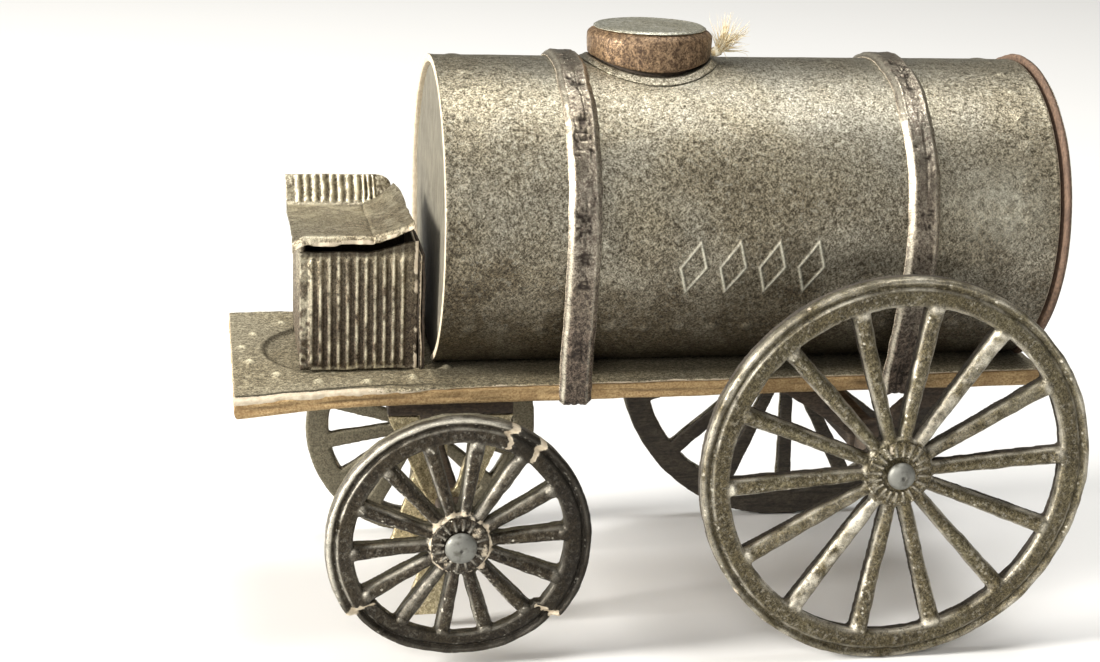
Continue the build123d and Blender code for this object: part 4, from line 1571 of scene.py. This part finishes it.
def make_wheel_face(wheel):
    """Embossed foil face of a wheel, uneven and worn, and broken where the wheel is cracked."""
    centre, radius, rim, hub = wheel.centre, wheel.radius, wheel.rim, wheel.kind.hub
    side, outer, inner, seed, cracked = wheel.side, wheel.outer, wheel.inner, wheel.seed, wheel.cracked

    def settle(p, n):
        uneven = 0.05 * rough(p, 1.3, seed) + 0.035 * rough(p, 4.0, seed + 1)
        moved = p + n * uneven[:, None]
        moved[:, 1] = np.clip(moved[:, 1], min(outer, inner), max(outer, inner))
        keep_inside(moved, centre, radius - 0.005)
        if cracked:
            push, bend, _, crack = damage(moved, centre, radius)
            push_in(moved, push, centre)
            moved[:, 1] -= side * (bend + 0.18 * crack)
        return moved

    def wear_and_painted_light(p, n):
        """Bare card, painted highlights on the flanks, beads, groove and collars, a painted reflection band
        across some spokes, painted shade on the flat faces, and darker patches where a wheel is cracked.
        """
        off = p[:, [0, 2]] - centre[[0, 2]]
        r = np.hypot(*off.T)
        lift = side * (p[:, 1] - outer)
        facing = np.abs(n[:, 1])
        on_spoke = (r > hub) * (r < rim + 0.2)
        torn = 0.55 * (1 - step(lift, -0.98, -0.72)) * (0.6 + 0.6 * rough(p, 1.0, seed + 3))

        # painted highlights on the flanks, the bead, the groove and the collars, and one painted reflection
        # band across the spokes
        streaks = 0.55 + 0.6 * rough(p, 1.4, seed + 12)
        flank = (1 - step(facing, 0.5, 0.88)) * streaks * np.where(on_spoke, 0.85, 0.6)
        flank = flank * step(lift, -0.9, -0.6)
        bead = ridge(r - radius + 0.28, 0.16)
        groove = ridge(r - radius + 0.93, 0.1)
        collar = ridge(r - rim + 0.12, 0.3) * step(lift, -0.3, -0.05)
        lean = np.degrees(np.arctan2(off[:, 1], off[:, 0])) % 180 - 52
        spoke_reflection = ridge(lean, 17) * (0.5 + 0.8 * rough(p, 0.9, seed + 15)) * on_spoke
        highlight = np.maximum.reduce([
            flank, 0.6 * bead * streaks, 0.75 * groove * streaks, 0.95 * collar * streaks,
            (0.3 if cracked else 0.75) * spoke_reflection,
        ])
        # painted shade on the flat outer faces of the tyre and felloe
        dull = 0.25 * step(facing, 0.9, 0.99) * (r > rim)
        if cracked:
            _, _, dark, crack = damage(p, centre, radius)
            ring = ridge(r - hub + 0.1 - 0.3 * rough(p, 0.8, seed + 14), 0.3)
            ring = ring * (0.62 + 0.5 * rough(p, 0.9, seed + 4))
            # painted highlights only on faces turned up and forward, and on the bead's upper left, partly as
            # bare cream card
            upper_left = step(-off[:, 0] + off[:, 1], 3, 9)
            highlight = highlight * (0.3 + 0.7 * step(n[:, 2] - n[:, 0], 0.0, 0.5))
            highlight = np.maximum(highlight, 0.95 * bead * upper_left) * (1 - 0.6 * dark)
            torn = np.maximum.reduce([torn, 0.95 * crack, ring, 0.5 * bead * upper_left * streaks])
            dull = np.maximum(dull, dark)
        else:
            nick = step(rough(p, 2.2, seed + 6), 0.75, 1.1) * step(r, radius - 0.5, radius - 0.1)
            torn = np.maximum(torn, 0.6 * nick)
        return {"bare": torn, "worn": highlight, "grime": dull}

    face = fused_on(wheel, "_wheel_relief", outer, wheel_face_parts(wheel), wheel.kind.grid, 2)
    reshape(face, settle, wear_and_painted_light)
    finish_piece(face, wheel.prefix + "_wheel", "wheel_foil", wheel.skin, wheel.prefix + "_wheel_face")


def make_wheel_backing(wheel):
    """Plain card behind a wheel's face, with its own rim, hub and spokes."""
    centre, radius, rim, hub = wheel.centre, wheel.radius, wheel.rim, wheel.kind.hub
    node = wheel.prefix + "_wheel_backing"
    low, high = box(node)
    depth = high[1] - low[1]
    ring = [
        (rim + 0.1, -0.02), (radius - 0.08, -0.02), (radius - 0.05, -depth + 0.05),
        (radius - 0.15, -depth), (rim + 0.2, -depth), (rim + 0.08, -depth + 0.08),
    ]
    disc = [(NAIL_HOLE, -0.02), (hub, -0.02), (hub, -depth), (NAIL_HOLE, -depth)]
    parts = [turned(ring, 200), turned(disc, 60)]
    back = np.array([0, -depth, 0])
    for along, across in directions(SPOKES, wheel.phase):
        parts.append(bar(
            along * (hub - 0.5) + back, along * (rim + 0.4) + back,
            lambda s: 0.52 + 0.2 * s, lambda s: depth - 0.02, across, rounding=8, samples=10, rings=7,
        ))

    def settle(p, n):
        moved = p + 0.04 * n * rough(p, 1.1, wheel.seed + 8)[:, None]
        moved[:, 1] = np.clip(moved[:, 1], low[1], high[1])
        if wheel.cracked:
            push_in(moved, damage(moved, centre, radius)[0], centre)
        keep_inside(moved, centre, radius - 0.02)
        return moved

    face_plane = wheel.outer - wheel.side * FACE_THICKNESS
    backing = fused_on(wheel, "_wheel_card", face_plane, parts, 0.16, 1)
    reshape(backing, settle)
    finish_piece(backing, wheel.prefix + "_wheel", "wheel_backing_card", wheel.kind.backing, node)


def make_wheel_rosette(wheel):
    """Hub's ring of raised beads round the nail."""
    node = wheel.prefix + "_wheel_rosette"
    low, high = box(node)
    height = high[1] - low[1]
    spread = (high[0] - low[0]) / 2
    ring = [
        (NAIL_HOLE, 0.0), (NAIL_HOLE, height * 0.15), (spread * 0.5, height * 0.2),
        (spread * 0.66, height * 0.55), (spread * 0.9, height * 0.35), (spread, 0.0),
    ]
    parts = [turned(ring, 80)]
    for along, across in directions(wheel.kind.beads, wheel.phase, 0.5):
        parts.append(bar(
            along * spread * 0.55, along * spread * 0.97,
            lambda s: 0.15 + 0.1 * s, lambda s: height * (0.95 - 0.35 * s), across, samples=9, rings=5,
        ))
    rosette = fused_on(wheel, "_wheel_beads", wheel.outer, parts, 0.05, 1)
    reshape(
        rosette,
        lambda p, n: p + 0.02 * n * rough(p, 0.5, wheel.seed + 9)[:, None] - 0.01 * n,
        lambda p, n: {
            "bare": (0.2 if wheel.cracked else 0.0) + 0.5 * rough(p, 0.8, wheel.seed + 10),
            "worn": 0.5 * step(np.abs(p[:, 1] - wheel.outer), height * 0.5, height),
        },
    )
    finish_piece(rosette, wheel.prefix + "_wheel", "wheel_foil", wheel.skin, node)


SHANK_RADIUS = 0.5
HEAD_HEIGHT = 0.8  # height of a nail's CAD head
HEAD_RISE = 0.78  # height of its visible head
HEAD_EDGE = 0.12  # height of the head's upright edge


def make_nail(prefix):
    """Nail with a low domed head that has a small pit in its middle."""
    low, high = box(prefix + "_nail")
    side = -1 if low[1] < 0 else 1
    end, tip = (low[1], high[1]) if side < 0 else (high[1], low[1])
    head = (high[0] - low[0]) / 2
    base = end - side * HEAD_HEIGHT
    shank = abs(base - tip)
    turn = np.linspace(0, math.pi / 2, 12)[:-1]
    profile = [
        (0.0, -shank), (0.42, -shank + 0.1), (SHANK_RADIUS, -shank + 0.5), (SHANK_RADIUS, -0.02),
        (head * 0.97, 0.0),
        *((head * math.cos(t), HEAD_EDGE + (HEAD_RISE - HEAD_EDGE) * math.sin(t)) for t in turn),
        (0.16, HEAD_RISE - 0.02), (0.1, HEAD_RISE - 0.09), (0.0, HEAD_RISE - 0.11),
    ]
    points, _ = turned(profile, 64)
    faces = grid_faces(64, len(profile), wrap_u=True)
    points = to_wheel(points, (low + high) / 2, side, base)
    points = points + 0.012 * rough(points, 0.7, 301)[:, None] * (0, 1, 0)
    nail = build(prefix + "_nail_head", points, faces)
    finish_piece(nail, "chassis", "nail_steel", nail_steel, prefix + "_nail")


for wheel_prefix, wheel_seed, wheel_cracked in (
    ("front_left", 401, True),
    ("front_right", 431, False),
    ("rear_left", 461, False),
    ("rear_right", 491, False),
):
    facts = wheel_facts(wheel_prefix, wheel_seed, wheel_cracked)
    make_wheel_face(facts)
    make_wheel_backing(facts)
    make_wheel_rosette(facts)
    make_nail(wheel_prefix)


# ---------------------------------------------------------------- floor, light, camera

FLOOR_HALF = 3.0  # metres


def make_floor():
    """Plain pale floor."""
    mesh = bpy.data.meshes.new("floor")
    corners = [(x * FLOOR_HALF, y * FLOOR_HALF, 0) for x, y in ((-1, -1), (1, -1), (1, 1), (-1, 1))]
    mesh.from_pydata(corners, [], [(0, 1, 2, 3)])
    floor = bpy.data.objects.new("floor", mesh)
    bpy.context.collection.objects.link(floor)
    n = Nodes("floor")
    shade = n.noise(200.0, detail=2)
    colour = n.mix(shade, (0.80, 0.80, 0.79), (0.84, 0.84, 0.83))
    mesh.materials.append(n.end(colour, 0.9, 0.0, n.bump(shade, 0.02, 1.0)))


def softbox(name, place, aim, size, power, colour):
    """Rectangular soft light."""
    data = bpy.data.lights.new(name, "AREA")
    data.shape = "RECTANGLE"
    data.size, data.size_y = size
    data.energy = power
    data.color = colour
    light = bpy.data.objects.new(name, data)
    bpy.context.collection.objects.link(light)
    light.location = place
    light.rotation_euler = (Vector(aim) - Vector(place)).to_track_quat("-Z", "Y").to_euler()


# place in metres, size in metres, power in watts, colour
SOFTBOXES = {
    "overhead": ((0.10, 0.05, 0.98), (0.5, 0.45), 7.0, (1.0, 0.99, 0.97)),
    "front": ((-0.35, -0.85, 0.55), (0.5, 0.4), 5.2, (1.0, 0.98, 0.95)),
    "left": ((-0.60, -0.10, 0.24), (0.14, 0.24), 8.5, (1.0, 0.97, 0.92)),
}
LIGHT_AIM = (0, 0, 0.028)


def make_light():
    """Faint warm surroundings and three soft lights."""
    world = bpy.data.worlds.new("studio")
    bpy.context.scene.world = world
    world.use_nodes = True
    background = world.node_tree.nodes["Background"]
    background.inputs["Color"].default_value = (1.0, 0.975, 0.92, 1)
    background.inputs["Strength"].default_value = 0.17
    for name, (place, size, power, colour) in SOFTBOXES.items():
        softbox(name, place, LIGHT_AIM, size, power, colour)


CAMERA_PLACE = (-0.0372, -0.1630, 0.0736)
CAMERA_TURN = (10.23, 16.67, -2.07)  # degrees: towards +X, down, roll
SENSOR_WIDTH = 36
FOCAL_LENGTH = 65.7


def make_camera():
    """Camera at the photograph's viewing angle."""
    data = bpy.data.cameras.new("camera")
    data.sensor_width = SENSOR_WIDTH
    data.lens = FOCAL_LENGTH
    data.clip_start, data.clip_end = 0.005, 10
    camera = bpy.data.objects.new("camera", data)
    bpy.context.collection.objects.link(camera)
    yaw, pitch, roll = (math.radians(a) for a in CAMERA_TURN)
    ahead = Vector((math.sin(yaw) * math.cos(pitch), math.cos(yaw) * math.cos(pitch), -math.sin(pitch)))
    right = Vector((math.cos(yaw), -math.sin(yaw), 0))
    down = ahead.cross(right)
    rolled_right = math.cos(roll) * right + math.sin(roll) * down
    rolled_down = math.cos(roll) * down - math.sin(roll) * right
    turn = Matrix((rolled_right, -rolled_down, -ahead)).transposed()
    camera.matrix_world = Matrix.Translation(CAMERA_PLACE) @ turn.to_4x4()
    bpy.context.scene.camera = camera


make_floor()
make_light()
make_camera()
bpy.context.scene.view_settings.view_transform = "Standard"
